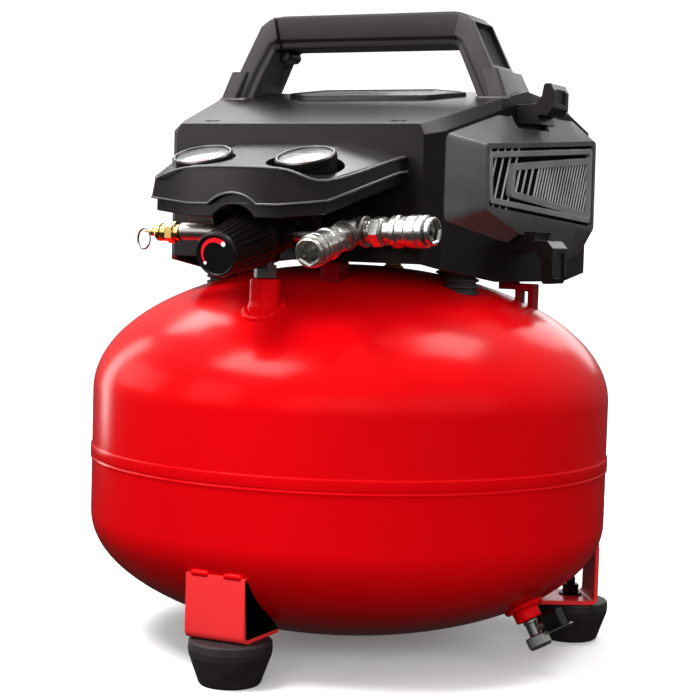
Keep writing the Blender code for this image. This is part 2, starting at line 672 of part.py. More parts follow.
def build_regulator():
    """Round body that the manifold runs through, with a neck that carries the knob."""
    back = Vector(KNOB_FRONT) - KNOB_AXIS * KNOB_LENGTH
    profile = [(0.0, -0.0300), (0.0140, -0.0300), (0.0170, -0.0270), (0.0170, -0.0025),
               (0.0150, -0.0006), (0.0100, -0.0006), (0.0100, 0.0240), (0.0090, 0.0250), (0.0, 0.0250)]
    body = add_object("regulator_body", lathe(profile, 28), BLACK, back, KNOB_AXIS, smooth=35)
    pipe_bore = cylinder(PIPE_R + GAP, -0.03, 0.03, 20)
    boolean(body, add_object("cut_regulator_pipe", pipe_bore, None, (0.0, PIPE_Y, PIPE_Z), (1.0, 0.0, 0.0)))
    riser_bore = cylinder(RISER_NECK_R + GAP, 0.2700, PIPE_Z, 20)
    boolean(body, add_object("cut_regulator_riser", riser_bore, None, (0.0, RISER_Y, 0.0)))

    def fluted(radius, height, step):
        flat = height > KNOB_LENGTH - 0.004 or height < 0.002 or radius < 0.0135
        return radius if flat or step % 2 else radius * 0.965

    bore_r = 0.0100 + SHAFT_CLEARANCE
    profile = [(0.0, 0.0265), (bore_r, 0.0265), (bore_r, 0.0), (KNOB_BACK_R - 0.001, 0.0),
               (KNOB_BACK_R, 0.0030), (KNOB_FRONT_R + 0.0008, KNOB_LENGTH - 0.0050),
               (KNOB_FRONT_R, KNOB_LENGTH - 0.0030), (KNOB_FRONT_R - 0.0016, KNOB_LENGTH),
               (0.0, KNOB_LENGTH)]
    add_object("regulator_knob", lathe(profile, KNOB_FLUTES * 2, fluted), BLACK, back, KNOB_AXIS, smooth=30)


def build_coupler(name, base, axis):
    """Quick coupler: body with a hex root and a bore for the hose plug, and a sprung sleeve."""
    front = COUPLER_LENGTH
    body = [(0.0, 0.0), (0.0070, 0.0), (0.0070, 0.0040), (0.0092, 0.0045), (0.0092, 0.0130),
            (0.0080, 0.0140), (0.0080, front - 0.0040), (0.0094, front - 0.0035), (0.0094, front - 0.0008),
            (0.0086, front), (COUPLER_BORE_R + 0.0012, front), (COUPLER_BORE_R, front - 0.0012),
            (COUPLER_BORE_R, front - 0.0240), (0.0, front - 0.0240)]
    add_object("coupler_body_" + name, lathe(body, 24), STEEL, base, axis, smooth=30)
    low = 0.0140 + SLEEVE_TRAVEL + 0.0010
    high = front - 0.0046
    inner = 0.0080 + SHAFT_CLEARANCE
    sleeve = [(inner, low), (SLEEVE_R - 0.0008, low), (SLEEVE_R, low + 0.0008), (SLEEVE_R, low + 0.0050),
              (SLEEVE_R - 0.0009, low + 0.0060), (SLEEVE_R - 0.0009, high - 0.0080),
              (SLEEVE_R, high - 0.0070), (SLEEVE_R, high - 0.0008), (SLEEVE_R - 0.0008, high),
              (inner, high)]
    add_object("coupler_sleeve_" + name, ring_lathe(sleeve, 24), STEEL, base, axis, smooth=30)


# ---------------------------------------------------------------- relief valve, switch, drain
def build_relief_valve():
    """Brass body on the pipe's left end, a sprung stem, and a pull ring through the stem's hole."""
    left = Vector((-1.0, 0.0, 0.0))
    place = (RELIEF_X, PIPE_Y, RELIEF_Z)
    bore = 0.0023 + SHAFT_CLEARANCE
    body = [(0.0, 0.0), (0.0052, 0.0), (0.0052, 0.0030), (0.0074, 0.0034), (0.0074, 0.0090),
            (0.0060, 0.0098), (0.0060, 0.0175), (0.0050, 0.0190), (bore, 0.0190), (bore, 0.0080),
            (0.0, 0.0080)]
    add_object("relief_valve", lathe(body, 18), BRASS, place, left, smooth=30)
    hole = RELIEF_X - RELIEF_HOLE_X
    stem = [(0.0, 0.0095), (0.0023, 0.0095), (0.0023, hole - 0.0042), (0.0018, hole - 0.0034),
            (0.0, hole - 0.0034)]
    post = add_object("relief_stem", lathe(stem, 16), STEEL, place, left, smooth=35)
    eye_place = (RELIEF_HOLE_X, PIPE_Y, RELIEF_Z)
    blade = box(((-0.0027, 0.0045), (-0.0023, 0.0023), (-0.0006, 0.0006)))
    boolean(post, add_object("join_stem_blade", blade, None, eye_place), "UNION")
    eye = cylinder(RING_WIRE_R + 0.0010, -0.01, 0.01, 16)
    boolean(post, add_object("cut_stem_eye", eye, None, eye_place))

    lean = math.radians(225.0)
    centre = Vector((RING_MEAN_R * math.cos(lean), 0.0, RING_MEAN_R * math.sin(lean)))
    shape = bmesh.new()
    sides, steps = 8, 32
    loops = []
    for step in range(steps):
        angle = 2.0 * math.pi * step / steps
        out = Vector((math.cos(angle), 0.0, math.sin(angle)))
        loops.append([
            shape.verts.new(centre + out * (RING_MEAN_R + RING_WIRE_R * math.cos(2.0 * math.pi * i / sides))
                            + Vector((0.0, RING_WIRE_R * math.sin(2.0 * math.pi * i / sides), 0.0)))
            for i in range(sides)
        ])
    for step in range(steps):
        near, far = loops[step], loops[(step + 1) % steps]
        for i in range(sides):
            after = (i + 1) % sides
            shape.faces.new([near[i], near[after], far[after], far[i]])
    bmesh.ops.rotate(shape, matrix=Matrix.Rotation(RING_TURN, 3, "Z"), verts=shape.verts)
    add_object("relief_ring", shape, STEEL, eye_place, smooth=60)


def build_pressure_switch():
    """Pressure switch under the console's left half, with a rocker on its left side."""
    housing = add_object("pressure_switch", box(((-0.0700, -0.0440), (-0.1230, -0.1020), (0.3060, 0.3260))),
                         BLACK)
    bevel = housing.modifiers.new("edges", "BEVEL")
    bevel.width = 0.0015
    bevel.segments = 1
    pocket = box(((-0.0720, -0.0650), (-0.1176, -0.1064), (0.3098, 0.3242)))
    boolean(housing, add_object("cut_rocker_pocket", pocket, None))
    pivot = (-0.0694, -0.1120, 0.3170)
    outline = [(0.0010, -0.0060), (-0.0018, -0.0060), (-0.0042, 0.0), (-0.0046, 0.0060), (0.0010, 0.0060),
               (0.0014, 0.0)]
    rings = [[(x, y, z) for x, z in outline] for y in (-0.0050, 0.0050)]
    add_object("switch_rocker", loft(rings), RED, pivot)


def build_drain():
    """Quarter-turn drain valve under the tank and its lever."""
    point, axis = bottom_normal(*DRAIN_XY)
    base = point + axis * (0.0165 - 0.006 + GAP)
    body = [(0.0, 0.0), (0.0056, 0.0), (0.0056, 0.0110), (0.0084, 0.0114), (0.0084, 0.0190),
            (0.0070, 0.0204), (0.0034, 0.0204), (0.0034, 0.0060), (0.0, 0.0060)]
    valve = add_object("drain_valve", lathe(body, 20), STEEL, base, axis, smooth=30)
    out = Vector((axis.z, 0.0, -axis.x)) * -1.0
    out = (out - axis * out.dot(axis)).normalized()
    pivot = base + axis * 0.0064
    stem = add_object("join_drain_stem", cylinder(0.0024, 0.0040, 0.0100, 12), None, pivot, out)
    boolean(valve, stem, "UNION")
    grip = [(0.0, 0.0103), (0.0058, 0.0103), (0.0066, 0.0112), (0.0066, 0.0225), (0.0056, 0.0236),
            (0.0, 0.0236)]
    lever = add_object("drain_lever", lathe(grip, 16), BLACK, pivot, out, smooth=30)
    side = out.cross(axis)
    frame = Matrix((side, axis, out)).transposed().to_4x4()
    frame.translation = pivot
    strip = box(((-0.0040, 0.0040), (0.0060, 0.0074), (0.0090, 0.0280)), frame)
    boolean(lever, add_object("join_drain_strip", strip, None), "UNION")


# ---------------------------------------------------------------- pump under the shroud
def build_supports():
    """Red brackets welded to the tank and the rubber isolators that carry the pump frame."""
    under_frame = FRAME_Z - GAP
    front = add_object("pump_bracket_front",
                       box(((0.0160, 0.0440), (-0.0870, -0.0690), (0.2350, under_frame))), RED)
    boolean(front, ENVELOPE)
    for name, sign in (("right", 1.0), ("left", -1.0)):
        outline = [(0.1040, 0.2350), (0.1310, 0.2350), (0.1310, 0.2685), (0.1160, 0.2685),
                   (0.1160, under_frame), (0.1040, under_frame)]
        shape = loft([[(sign * x, y, z) for x, z in outline] for y in (0.0275, 0.0405)])
        bracket = add_object("pump_bracket_" + name, shape, RED)
        boolean(bracket, ENVELOPE)
    isolators = {"right": (0.0970, -0.0260), "left": (-0.0970, -0.0260), "back": (0.0450, 0.0800)}
    for name, (x, y) in isolators.items():
        top = FRAME_Z - GAP
        low = tank_height(x, y) - 0.004
        profile = [(0.0, low), (ISOLATOR_R, low)]
        height = low + 0.005
        while height < top - 0.003:
            profile += [(ISOLATOR_R, height), (ISOLATOR_R - 0.002, height + 0.0009),
                        (ISOLATOR_R - 0.002, height + 0.0018), (ISOLATOR_R, height + 0.0027)]
            height += 0.0042
        profile += [(ISOLATOR_R, top), (0.0, top)]
        isolator = add_object("isolator_" + name, lathe(profile, 16), ISOLATOR, (x, y, 0.0), smooth=25)
        boolean(isolator, ENVELOPE)


def build_frame():
    """Pressed base with the crank's bearing plate, the cylinder's mounting plate and motor saddles."""
    right = [(0.0920, -0.0920), (0.1120, -0.0050), (0.1120, 0.0990)]
    outline = right + [(-x, y) for x, y in reversed(right)]
    base = loft([[(x, y, z) for x, y in outline] for z in (FRAME_Z, FRAME_Z + FRAME_THICK)])
    frame = add_object("pump_frame", base, ALUMINIUM)
    floor = FRAME_Z + FRAME_THICK - 0.001
    plates = {
        "bearing": ((BELT_X + 0.0130, BELT_X + 0.0200), (0.0300, 0.0600), (floor, 0.3560)),
        "cylinder": ((ROD_X - 0.0330, ROD_X + 0.0330), (0.0720, 0.0780), (floor, 0.3640)),
        "saddle_left": ((0.0080, 0.0140), (-0.0620, 0.0020), (floor, 0.3020)),
        "saddle_right": ((0.0560, 0.0620), (-0.0620, 0.0020), (floor, 0.3020)),
    }
    for name, bounds in plates.items():
        boolean(frame, add_object("join_frame_" + name, box(bounds), None), "UNION")
    along_x = (1.0, 0.0, 0.0)
    bearing = cylinder(0.0080 + SHAFT_CLEARANCE, -0.02, 0.02, 24)
    cuts = {
        "bearing": (bearing, (BELT_X + 0.0165, CRANK_Y, CRANK_Z), along_x),
        "cylinder": (cylinder(CYLINDER_BORE_R, -0.02, 0.02, 32), (ROD_X, 0.0750, CRANK_Z), (0.0, 1.0, 0.0)),
        "motor": (cylinder(0.0420 + GAP, -0.05, 0.10, 32), (0.0, MOTOR_Y, MOTOR_Z), along_x),
    }
    for name, (shape, place, axis) in cuts.items():
        boolean(frame, add_object("cut_frame_" + name, shape, None, place, axis))


def build_motor():
    """Motor can, rotor with its long shaft and pinion, and the cooling fan behind the grille."""
    along_x = (1.0, 0.0, 0.0)
    place = (0.0, MOTOR_Y, MOTOR_Z)
    bore = 0.0050 + SHAFT_CLEARANCE
    can = [(0.0420, -0.0100), (0.0420, 0.0760), (bore, 0.0760), (bore, 0.0700), (0.0250, 0.0700),
           (0.0250, -0.0040), (bore, -0.0040), (bore, -0.0100)]
    add_object("motor_can", ring_lathe(can, 28), IRON, place, along_x, smooth=30)
    rotor = [(0.0, BELT_X - 0.0070), (PINION_R, BELT_X - 0.0070), (PINION_R, BELT_X + 0.0070),
             (0.0050, BELT_X + 0.0070), (0.0050, 0.0040),
             (0.0240, 0.0040), (0.0240, 0.0620), (0.0050, 0.0620), (0.0050, 0.0870), (0.0, 0.0870)]
    add_object("motor_rotor", lathe(rotor, 24), IRON, place, along_x, smooth=30)
    fan = add_object("cooling_fan", tube(0.0110, 0.0050 + GAP, 0.0800, 0.0900, 20), BLACK, place, along_x)
    for index in range(7):
        angle = 2.0 * math.pi * index / 7.0
        turn = Matrix.Rotation(angle, 4, "Z") @ Matrix.Translation((0.0230, 0.0, 0.0850))
        blade = box(((-0.0140, 0.0140), (-0.0008, 0.0008), (-0.0042, 0.0042)),
                    turn @ Matrix.Rotation(math.radians(35.0), 4, "X"))
        boolean(fan, add_object(f"join_fan_blade_{index}", blade, None, place, along_x), "UNION")


def belt_outline(offset, steps):
    """Belt line round both pulleys, grown by offset, as (y, z) points."""
    small = Vector((MOTOR_Y, MOTOR_Z))
    large = Vector((CRANK_Y, CRANK_Z))
    line = large - small
    heading = math.atan2(line.y, line.x)
    lean = math.asin((FLYWHEEL_R - PINION_R) / line.length)
    points = []
    for centre, radius, start, end in (
        (large, FLYWHEEL_R, -math.pi / 2.0 - lean, math.pi / 2.0 + lean),
        (small, PINION_R, math.pi / 2.0 + lean, 3.0 * math.pi / 2.0 - lean),
    ):
        for step in range(steps + 1):
            angle = heading + start + (end - start) * step / steps
            reach = radius + offset
            points.append((centre.x + reach * math.cos(angle), centre.y + reach * math.sin(angle)))
    return points


def build_drive():
    """Belt, flywheel, crankshaft, rod, piston, cylinder and head."""
    inner, outer = belt_outline(BELT_GAP, 20), belt_outline(BELT_GAP + BELT_THICK, 20)
    shape = bmesh.new()
    loops = [[shape.verts.new((x, y, z)) for y, z in ring]
             for x, ring in ((BELT_X - 0.0050, inner), (BELT_X - 0.0050, outer),
                             (BELT_X + 0.0050, outer), (BELT_X + 0.0050, inner))]
    count = len(inner)
    for index, near in enumerate(loops):
        far = loops[(index + 1) % 4]
        for step in range(count):
            after = (step + 1) % count
            shape.faces.new([near[step], near[after], far[after], far[step]])
    add_object("drive_belt", shape, RUBBER)

    along_x = (1.0, 0.0, 0.0)
    crank = (0.0, CRANK_Y, CRANK_Z)
    hub_r = 0.0080 + GAP
    wheel = [(FLYWHEEL_R, -0.0060), (FLYWHEEL_R, 0.0060), (FLYWHEEL_R - 0.005, 0.0060),
             (FLYWHEEL_R - 0.005, 0.0015), (0.0130, 0.0015), (0.0130, 0.0090), (hub_r, 0.0090),
             (hub_r, -0.0045), (0.0130, -0.0045), (0.0130, -0.0015), (FLYWHEEL_R - 0.005, -0.0015),
             (FLYWHEEL_R - 0.005, -0.0060)]
    add_object("flywheel", ring_lathe(wheel, 36), ALUMINIUM, (BELT_X, CRANK_Y, CRANK_Z), along_x, smooth=30)
    shaft = [(0.0, BELT_X - 0.0040), (0.0080, BELT_X - 0.0040), (0.0080, BELT_X + 0.0235),
             (0.0190, BELT_X + 0.0235), (0.0190, BELT_X + 0.0305), (0.0, BELT_X + 0.0305)]
    crankshaft = add_object("crankshaft", lathe(shaft, 28), IRON, crank, along_x, smooth=30)
    pin = add_object("join_crank_pin", cylinder(0.0050, BELT_X + 0.0290, BELT_X + 0.0490, 20), None,
                     (0.0, CRANK_Y + CRANK_THROW, CRANK_Z), along_x)
    boolean(crankshaft, pin, "UNION")

    rod_half = 0.0060
    big_end = (ROD_X, CRANK_Y + CRANK_THROW, CRANK_Z)
    rod = add_object("connecting_rod", cylinder(0.0095, -rod_half, rod_half, 24), ALUMINIUM, big_end, along_x)
    shank = box(((-0.0035, 0.0035), (0.0050, ROD_LENGTH), (-0.0040, 0.0040)))
    boolean(rod, add_object("join_rod_shank", shank, None, big_end), "UNION")
    bore = cylinder(0.0050 + SHAFT_CLEARANCE, -0.02, 0.02, 20)
    boolean(rod, add_object("cut_rod_bore", bore, None, big_end, along_x))

    along_y = (0.0, 1.0, 0.0)
    line = (ROD_X, 0.0, CRANK_Z)
    crown = CROWN_Y
    cup_r = CYLINDER_BORE_R - SHAFT_CLEARANCE
    add_object("piston", piston_solid(cup_r, crown), ALUMINIUM, line, along_y, smooth=30)
    low = 0.0780 + GAP
    high = crown + 0.0070
    barrel = [(CYLINDER_BORE_R, low), (0.0300, low), (0.0300, low + 0.0040), (0.0260, low + 0.0044),
              (0.0260, high - 0.0040), (0.0290, high - 0.0036), (0.0290, high), (CYLINDER_BORE_R, high)]
    add_object("cylinder", ring_lathe(barrel, 32), ALUMINIUM, line, along_y, smooth=30)
    head_z = high + GAP
    head = [(0.0, head_z), (0.0290, head_z), (0.0290, head_z + 0.0100), (0.0, head_z + 0.0100)]
    block = add_object("cylinder_head", lathe(head, 8), ALUMINIUM, line, along_y)
    for index in range(4):
        low_z = -0.0220 + index * 0.0120
        groove = box(((-0.04, 0.04), (low_z, low_z + 0.0050), (head_z + 0.0050, head_z + 0.02)))
        boolean(block, add_object(f"cut_head_groove_{index}", groove, None, line, along_y))


def piston_solid(radius, crown):
    """Cup-shaped piston, open towards the crank."""
    skirt = crown - 0.0160
    profile = [(0.0, crown + 0.0040), (radius, crown + 0.0040), (radius, skirt), (radius - 0.0030, skirt),
               (radius - 0.0030, crown), (0.0, crown)]
    return lathe(profile, 32)


def build_outlet():
    """Check valve in the tank's rear bung and the tube that feeds it from the cylinder head."""
    x, y = CHECK_XY
    base = tank_height(x, y) - 0.006 + 0.0160 + GAP
    body = [(0.0, 0.0), (0.0090, 0.0), (0.0090, 0.0060), (0.0070, 0.0070), (0.0070, 0.0090), (0.0, 0.0090)]
    add_object("check_valve", lathe(body, 6), BRASS, (x, y, base))

    port = Vector((ROD_X + 0.0296, 0.1130, CRANK_Z))
    path = [Vector((x, y, base + 0.0090 + GAP)), Vector((x, y, base + 0.0200)),
            Vector((x + 0.0080, y + 0.0040, base + 0.0320)), port + Vector((0.0180, 0.0040, -0.0080)),
            port + Vector((0.0080, 0.0, 0.0)), port]
    curve = bpy.data.curves.new("outlet_tube", "CURVE")
    curve.dimensions = "3D"
    curve.bevel_depth = 0.0032
    curve.bevel_resolution = 2
    curve.use_fill_caps = True
    spline = curve.splines.new("POLY")
    points = smooth_points(path, 5)
    spline.points.add(len(points) - 1)
    for target, point in zip(spline.points, points):
        target.co = (*point, 1.0)
    curve.materials.append(COPPER)
    item = bpy.data.objects.new("outlet_tube", curve)
    bpy.context.collection.objects.link(item)
    item.parent = TANK_AXIS


def smooth_points(points, steps):
    """Catmull-Rom curve through the given points."""
    padded = [points[0] * 2.0 - points[1]] + points + [points[-1] * 2.0 - points[-2]]
    result = []
    for index in range(1, len(padded) - 2):
        a, b, c, d = padded[index - 1:index + 3]
        for step in range(steps):
            t = step / steps
            result.append(0.5 * ((2.0 * b) + (c - a) * t + (2.0 * a - 5.0 * b + 4.0 * c - d) * t**2
                                 + (3.0 * b - a - 3.0 * c + d) * t**3))
    result.append(points[-1])
    return result


def build_cord_gland():
    """Gland in the shroud's back wall where the supply cord would enter."""
    wall = SHROUD_STATIONS[-1][0]
    gland = ring_lathe([(0.0110, 0.0), (0.0110, 0.0030), (0.0080, 0.0045), (0.0070, 0.0140),
                        (0.0042, 0.0140), (0.0042, 0.0)], 20)
    add_object("cord_gland", gland, RUBBER, (0.0620, wall + GAP, 0.3000), (0.0, 1.0, 0.0), smooth=35)


# ---------------------------------------------------------------- assembly
build_tank()
for leg_name, leg_angle in FOOT_ANGLES.items():
    build_leg(leg_name, leg_angle)
build_shroud()
build_handle()
build_right_cover()
build_grille()
build_left_cover()
build_hook("cord_hook_top", HOOK_TOP_Z, HOOK_LIFT)
build_hook("cord_hook_bottom", HOOK_BOTTOM_Z, -HOOK_LIFT - 0.0080)
build_console()
for gauge_name, gauge_sign in (("left", -1.0), ("right", 1.0)):
    build_gauge(gauge_name, gauge_sign)
build_manifold()
build_regulator()
build_coupler("front", Vector(TEE) + KNOB_AXIS * (0.0130 + GAP), KNOB_AXIS)
build_coupler("right", Vector(TEE) + COUPLER_RIGHT_AXIS * (0.0120 + GAP), COUPLER_RIGHT_AXIS)
build_relief_valve()
build_pressure_switch()
build_drain()
build_supports()
build_frame()
build_motor()
build_drive()
build_outlet()
build_cord_gland()
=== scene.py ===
"""Looks of the pancake air compressor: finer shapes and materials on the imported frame.

Shapes are worked out from the tank's axis with the floor at z = 0, in metres, and solid() moves them
into the row frame.
"""

import json
from math import atan2, cos, pi, radians, sin, sqrt, tan, tau

import bmesh
import bpy
from mathutils import Matrix, Quaternion, Vector, noise


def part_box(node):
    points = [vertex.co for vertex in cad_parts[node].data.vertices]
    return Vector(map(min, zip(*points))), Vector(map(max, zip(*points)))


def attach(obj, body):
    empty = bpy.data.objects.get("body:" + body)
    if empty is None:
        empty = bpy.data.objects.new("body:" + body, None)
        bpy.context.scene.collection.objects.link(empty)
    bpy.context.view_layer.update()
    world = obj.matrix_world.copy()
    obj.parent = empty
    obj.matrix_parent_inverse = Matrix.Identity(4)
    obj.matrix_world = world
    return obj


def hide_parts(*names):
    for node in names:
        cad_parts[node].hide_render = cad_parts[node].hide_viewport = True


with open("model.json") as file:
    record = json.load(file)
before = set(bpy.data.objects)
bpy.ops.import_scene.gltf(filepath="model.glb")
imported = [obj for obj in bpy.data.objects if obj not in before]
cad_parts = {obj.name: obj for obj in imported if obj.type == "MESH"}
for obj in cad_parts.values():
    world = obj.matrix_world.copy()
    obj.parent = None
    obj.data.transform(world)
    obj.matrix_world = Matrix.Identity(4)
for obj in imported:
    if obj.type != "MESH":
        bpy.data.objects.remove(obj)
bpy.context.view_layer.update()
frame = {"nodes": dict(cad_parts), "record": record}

tank_low, tank_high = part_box("tank")
AXIS = Vector((0.0, (tank_low[1] + tank_high[1]) / 2.0, 0.0))
MAIN = "compressor"
CONSOLE_FRONT = Vector((0.0, -1.0, 0.0))
UP = Vector((0.0, 0.0, 1.0))
RIGHT = Vector((1.0, 0.0, 0.0))
EDGE_ANGLE = radians(24.0)
FACE_WEIGHT = 80
ON_AXIS = 1e-7
NO_LENGTH = 1e-9


def mm(*points):
    """Points given in millimetres, as a list in metres."""
    return [tuple(number / 1000.0 for number in point) for point in points]


def joint_line(name):
    """(point on the joint's axis from the tank's axis, unit axis)."""
    joint = next(item for item in frame["record"]["behaviour"]["joints"] if item["name"] == name)
    point = Vector(joint["pos_m"]) - AXIS if "pos_m" in joint else None
    return point, Vector(joint["axis"]).normalized()


def centre_of(node):
    """Middle of a CAD node's box, from the tank's axis."""
    low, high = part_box(node)
    return (Vector(low) + Vector(high)) / 2.0 - AXIS


# ---- materials
def set_inputs(node, values):
    for socket, value in dict(values).items():
        node.inputs[socket].default_value = value


def chained(tree, kind, source, socket, output, values=(), operation=None):
    """Output of a new shader node that is fed from source."""
    node = tree.nodes.new("ShaderNode" + kind)
    if operation is not None:
        node.operation = operation
    set_inputs(node, values)
    tree.links.new(source, node.inputs[socket])
    return node.outputs[output]


class Nodes:
    """One material's node tree, built step by step."""

    def __init__(self, name, colour, roughness, metallic=0.0):
        self.material = bpy.data.materials.new(name)
        self.material.use_nodes = True
        self.tree = self.material.node_tree
        self.shader = self.tree.nodes["Principled BSDF"]
        self.colour = colour
        set_inputs(self.shader, {"Roughness": roughness, "Metallic": metallic})
        self.coordinates = self.tree.nodes.new("ShaderNodeTexCoord").outputs["Object"]

    def to_shader(self, output, socket):
        self.tree.links.new(output, self.shader.inputs[socket])

    def noise(self, scale, detail, stretch=None):
        source = self.coordinates
        if stretch is not None:
            source = chained(self.tree, "Mapping", source, "Vector", "Vector", {"Scale": stretch})
        return chained(self.tree, "TexNoise", source, "Vector", "Fac", {"Scale": scale, "Detail": detail})

    def cells(self, scale):
        return chained(self.tree, "TexVoronoi", self.coordinates, "Vector", "Distance", {"Scale": scale})

    def tint(self, factor, spread):
        """Base colour that wanders a little, from factor 0.35 to 0.65."""
        ramp = self.tree.nodes.new("ShaderNodeValToRGB")
        stops = zip(ramp.color_ramp.elements, (0.35, 0.65), (1.0 - spread, 1.0 + spread))
        for stop, position, scale in stops:
            stop.position = position
            stop.color = (*(min(1.0, channel * scale) for channel in self.colour), 1.0)
        self.tree.links.new(factor, ramp.inputs["Fac"])
        self.to_shader(ramp.outputs["Color"], "Base Color")

    def roughen(self, factor, low, high):
        spread = chained(self.tree, "MapRange", factor, "Value", "Result", {"To Min": low, "To Max": high})
        self.to_shader(spread, "Roughness")

    def bump(self, height, strength, distance, under=None):
        normal = chained(self.tree, "Bump", height, "Height", "Normal",
                         {"Strength": strength, "Distance": distance})
        if under is not None:
            self.tree.links.new(under, normal.node.inputs["Normal"])
        self.to_shader(normal, "Normal")
        return normal


def powder_coat(name, colour):
    """Gloss powder coat with a faint orange peel."""
    nodes = Nodes(name, colour, 0.2)
    nodes.tint(nodes.noise(9.0, 2.0), 0.05)
    nodes.roughen(nodes.noise(60.0, 4.0), 0.16, 0.26)
    nodes.bump(nodes.noise(420.0, 2.0), 0.05, 0.0002)
    set_inputs(nodes.shader, {"IOR": 1.26, "Specular Tint": (1.0, 0.30, 0.30, 1.0)})
    return nodes.material


def moulded_plastic(name, colour, low, high, grain=0.22):
    """Injection-moulded plastic with a spark-eroded grain and a slight sheen in patches."""
    nodes = Nodes(name, colour, (low + high) / 2.0)
    set_inputs(nodes.shader, {"IOR": 1.41, "Specular Tint": (1.0, 0.90, 0.91, 1.0)})
    nodes.tint(nodes.noise(35.0, 5.0), 0.14)
    nodes.roughen(nodes.noise(140.0, 4.0), low, high)
    broad = nodes.bump(nodes.noise(18.0, 2.0), 0.05, 0.002)
    nodes.bump(nodes.cells(1500.0), grain, 0.00012, broad)
    return nodes.material


def rubber(name, colour):
    nodes = Nodes(name, colour, 0.7)
    nodes.tint(nodes.noise(70.0, 6.0), 0.25)
    nodes.roughen(nodes.noise(260.0, 4.0), 0.55, 0.85)
    nodes.bump(nodes.noise(900.0, 4.0), 0.30, 0.00015)
    return nodes.material


def metal(name, colour, low, high, stretch=(1.0, 1.0, 1.0), mark=0.08, scale=300.0):
    """Plated or machined metal; stretch packs its tool marks closer along an axis."""
    nodes = Nodes(name, colour, (low + high) / 2.0, 1.0)
    nodes.tint(nodes.noise(50.0, 4.0), 0.06)
    nodes.roughen(nodes.noise(scale, 5.0, stretch), low, high)
    nodes.bump(nodes.noise(scale * 2.0, 3.0, stretch), mark, 0.00002)
    return nodes.material


def cast_metal(name, colour):
    nodes = Nodes(name, colour, 0.5, 1.0)
    nodes.tint(nodes.noise(90.0, 6.0), 0.18)
    nodes.roughen(nodes.noise(300.0, 4.0), 0.38, 0.62)
    nodes.bump(nodes.cells(900.0), 0.35, 0.0003)
    return nodes.material


def printed(name, colour, roughness=0.5):
    """Ink or painted marking with a trace of unevenness."""
    nodes = Nodes(name, colour, roughness)
    nodes.tint(nodes.noise(500.0, 3.0), 0.05)
    nodes.roughen(nodes.noise(700.0, 2.0), roughness - 0.08, roughness + 0.08)
    return nodes.material


def clear_lens(name):
    """Clear polycarbonate: mostly see-through, with a gloss and a few faint smears."""
    nodes = Nodes(name, (0.93, 0.96, 0.97), 0.04)
    nodes.tint(nodes.noise(120.0, 2.0), 0.01)
    nodes.roughen(nodes.noise(90.0, 5.0), 0.02, 0.08)
    nodes.shader.inputs["Alpha"].default_value = 0.10
    return nodes.material


RED = powder_coat("red_powder_coat", (0.56, 0.001, 0.003))
# Shaded copy of the red powder coat: a darker red on the pump posts and front bracket as painted shade.
SHADED_RED = powder_coat("shaded_red_powder_coat", (0.16, 0.001, 0.003))
# Lit copy of the red powder coat: the leg plates get a lighter red as painted light.
LIT_LEG_RED = powder_coat("lit_red_powder_coat", (0.72, 0.030, 0.032))
BLACK = moulded_plastic("black_moulded_plastic", (0.0046, 0.0034, 0.0036), 0.26, 0.38, 0.14)
# Lit copy of the handle plastic: a lighter black on the handle's legs and feet as painted light.
LIT_HANDLE_PLASTIC = moulded_plastic("lit_handle_leg_plastic", (0.0300, 0.0270, 0.0275), 0.34, 0.46, 0.18)
HANDLE_BLACK = moulded_plastic("handle_plastic", (0.0050, 0.0036, 0.0038), 0.36, 0.48, 0.18)
GREY = moulded_plastic("dark_grey_plastic", (0.056, 0.055, 0.056), 0.32, 0.44, 0.12)
FRAME_GREY = moulded_plastic("grille_frame_plastic", (0.150, 0.150, 0.153), 0.30, 0.42, 0.10)
FIN_GREY = moulded_plastic("grille_fin_plastic", (0.36, 0.365, 0.365), 0.30, 0.42, 0.10)
# Also painted shade: the grille fins' flanks and the floors and walls of the handle's recesses.
INNER_BLACK = moulded_plastic("inner_plastic", (0.004, 0.004, 0.004), 0.60, 0.75)
GLOSS_BLACK = moulded_plastic("gloss_black_plastic", (0.007, 0.007, 0.0075), 0.14, 0.24, 0.03)
# Lighter grey on the console's rolled edges stands for a painted highlight.
HIGHLIGHT_EDGE_BLACK = moulded_plastic("painted_highlight_edge_plastic", (0.080, 0.078, 0.079), 0.16, 0.26, 0.03)
RUBBER = rubber("black_rubber", (0.0150, 0.0108, 0.0115))
ISOLATOR = rubber("grey_isolator_rubber", (0.026, 0.024, 0.025))
NICKEL = metal("nickel_plate", (0.72, 0.70, 0.67), 0.24, 0.32, mark=0.02)
CAST_NICKEL = metal("cast_nickel_fitting", (0.46, 0.43, 0.41), 0.34, 0.44, mark=0.05)
STEEL = metal("zinc_plated_steel", (0.66, 0.65, 0.63), 0.24, 0.36, (1.0, 6.0, 6.0))
BRASS = metal("machined_brass", (0.76, 0.50, 0.17), 0.20, 0.32, (8.0, 1.0, 1.0), 0.04)
DARK_STEEL = metal("black_oxide_steel", (0.045, 0.045, 0.048), 0.36, 0.52, mark=0.15)
MOTOR_STEEL = metal("motor_steel", (0.30, 0.30, 0.31), 0.30, 0.46, (1.0, 8.0, 8.0))
ALUMINIUM = cast_metal("cast_aluminium", (0.60, 0.61, 0.62))
COPPER = metal("copper_tube", (0.78, 0.38, 0.22), 0.18, 0.34)
DIAL_WHITE = printed("dial_enamel", (0.60, 0.64, 0.68), 0.35)
INK = printed("dial_ink", (0.02, 0.02, 0.022))
RED_INK = printed("red_marking", (0.84, 0.008, 0.020), 0.35)
WHITE_INK = printed("white_marking", (0.86, 0.85, 0.84), 0.40)
NEEDLE_RED = printed("needle_paint", (0.60, 0.02, 0.02), 0.40)
LENS = clear_lens("clear_lens")


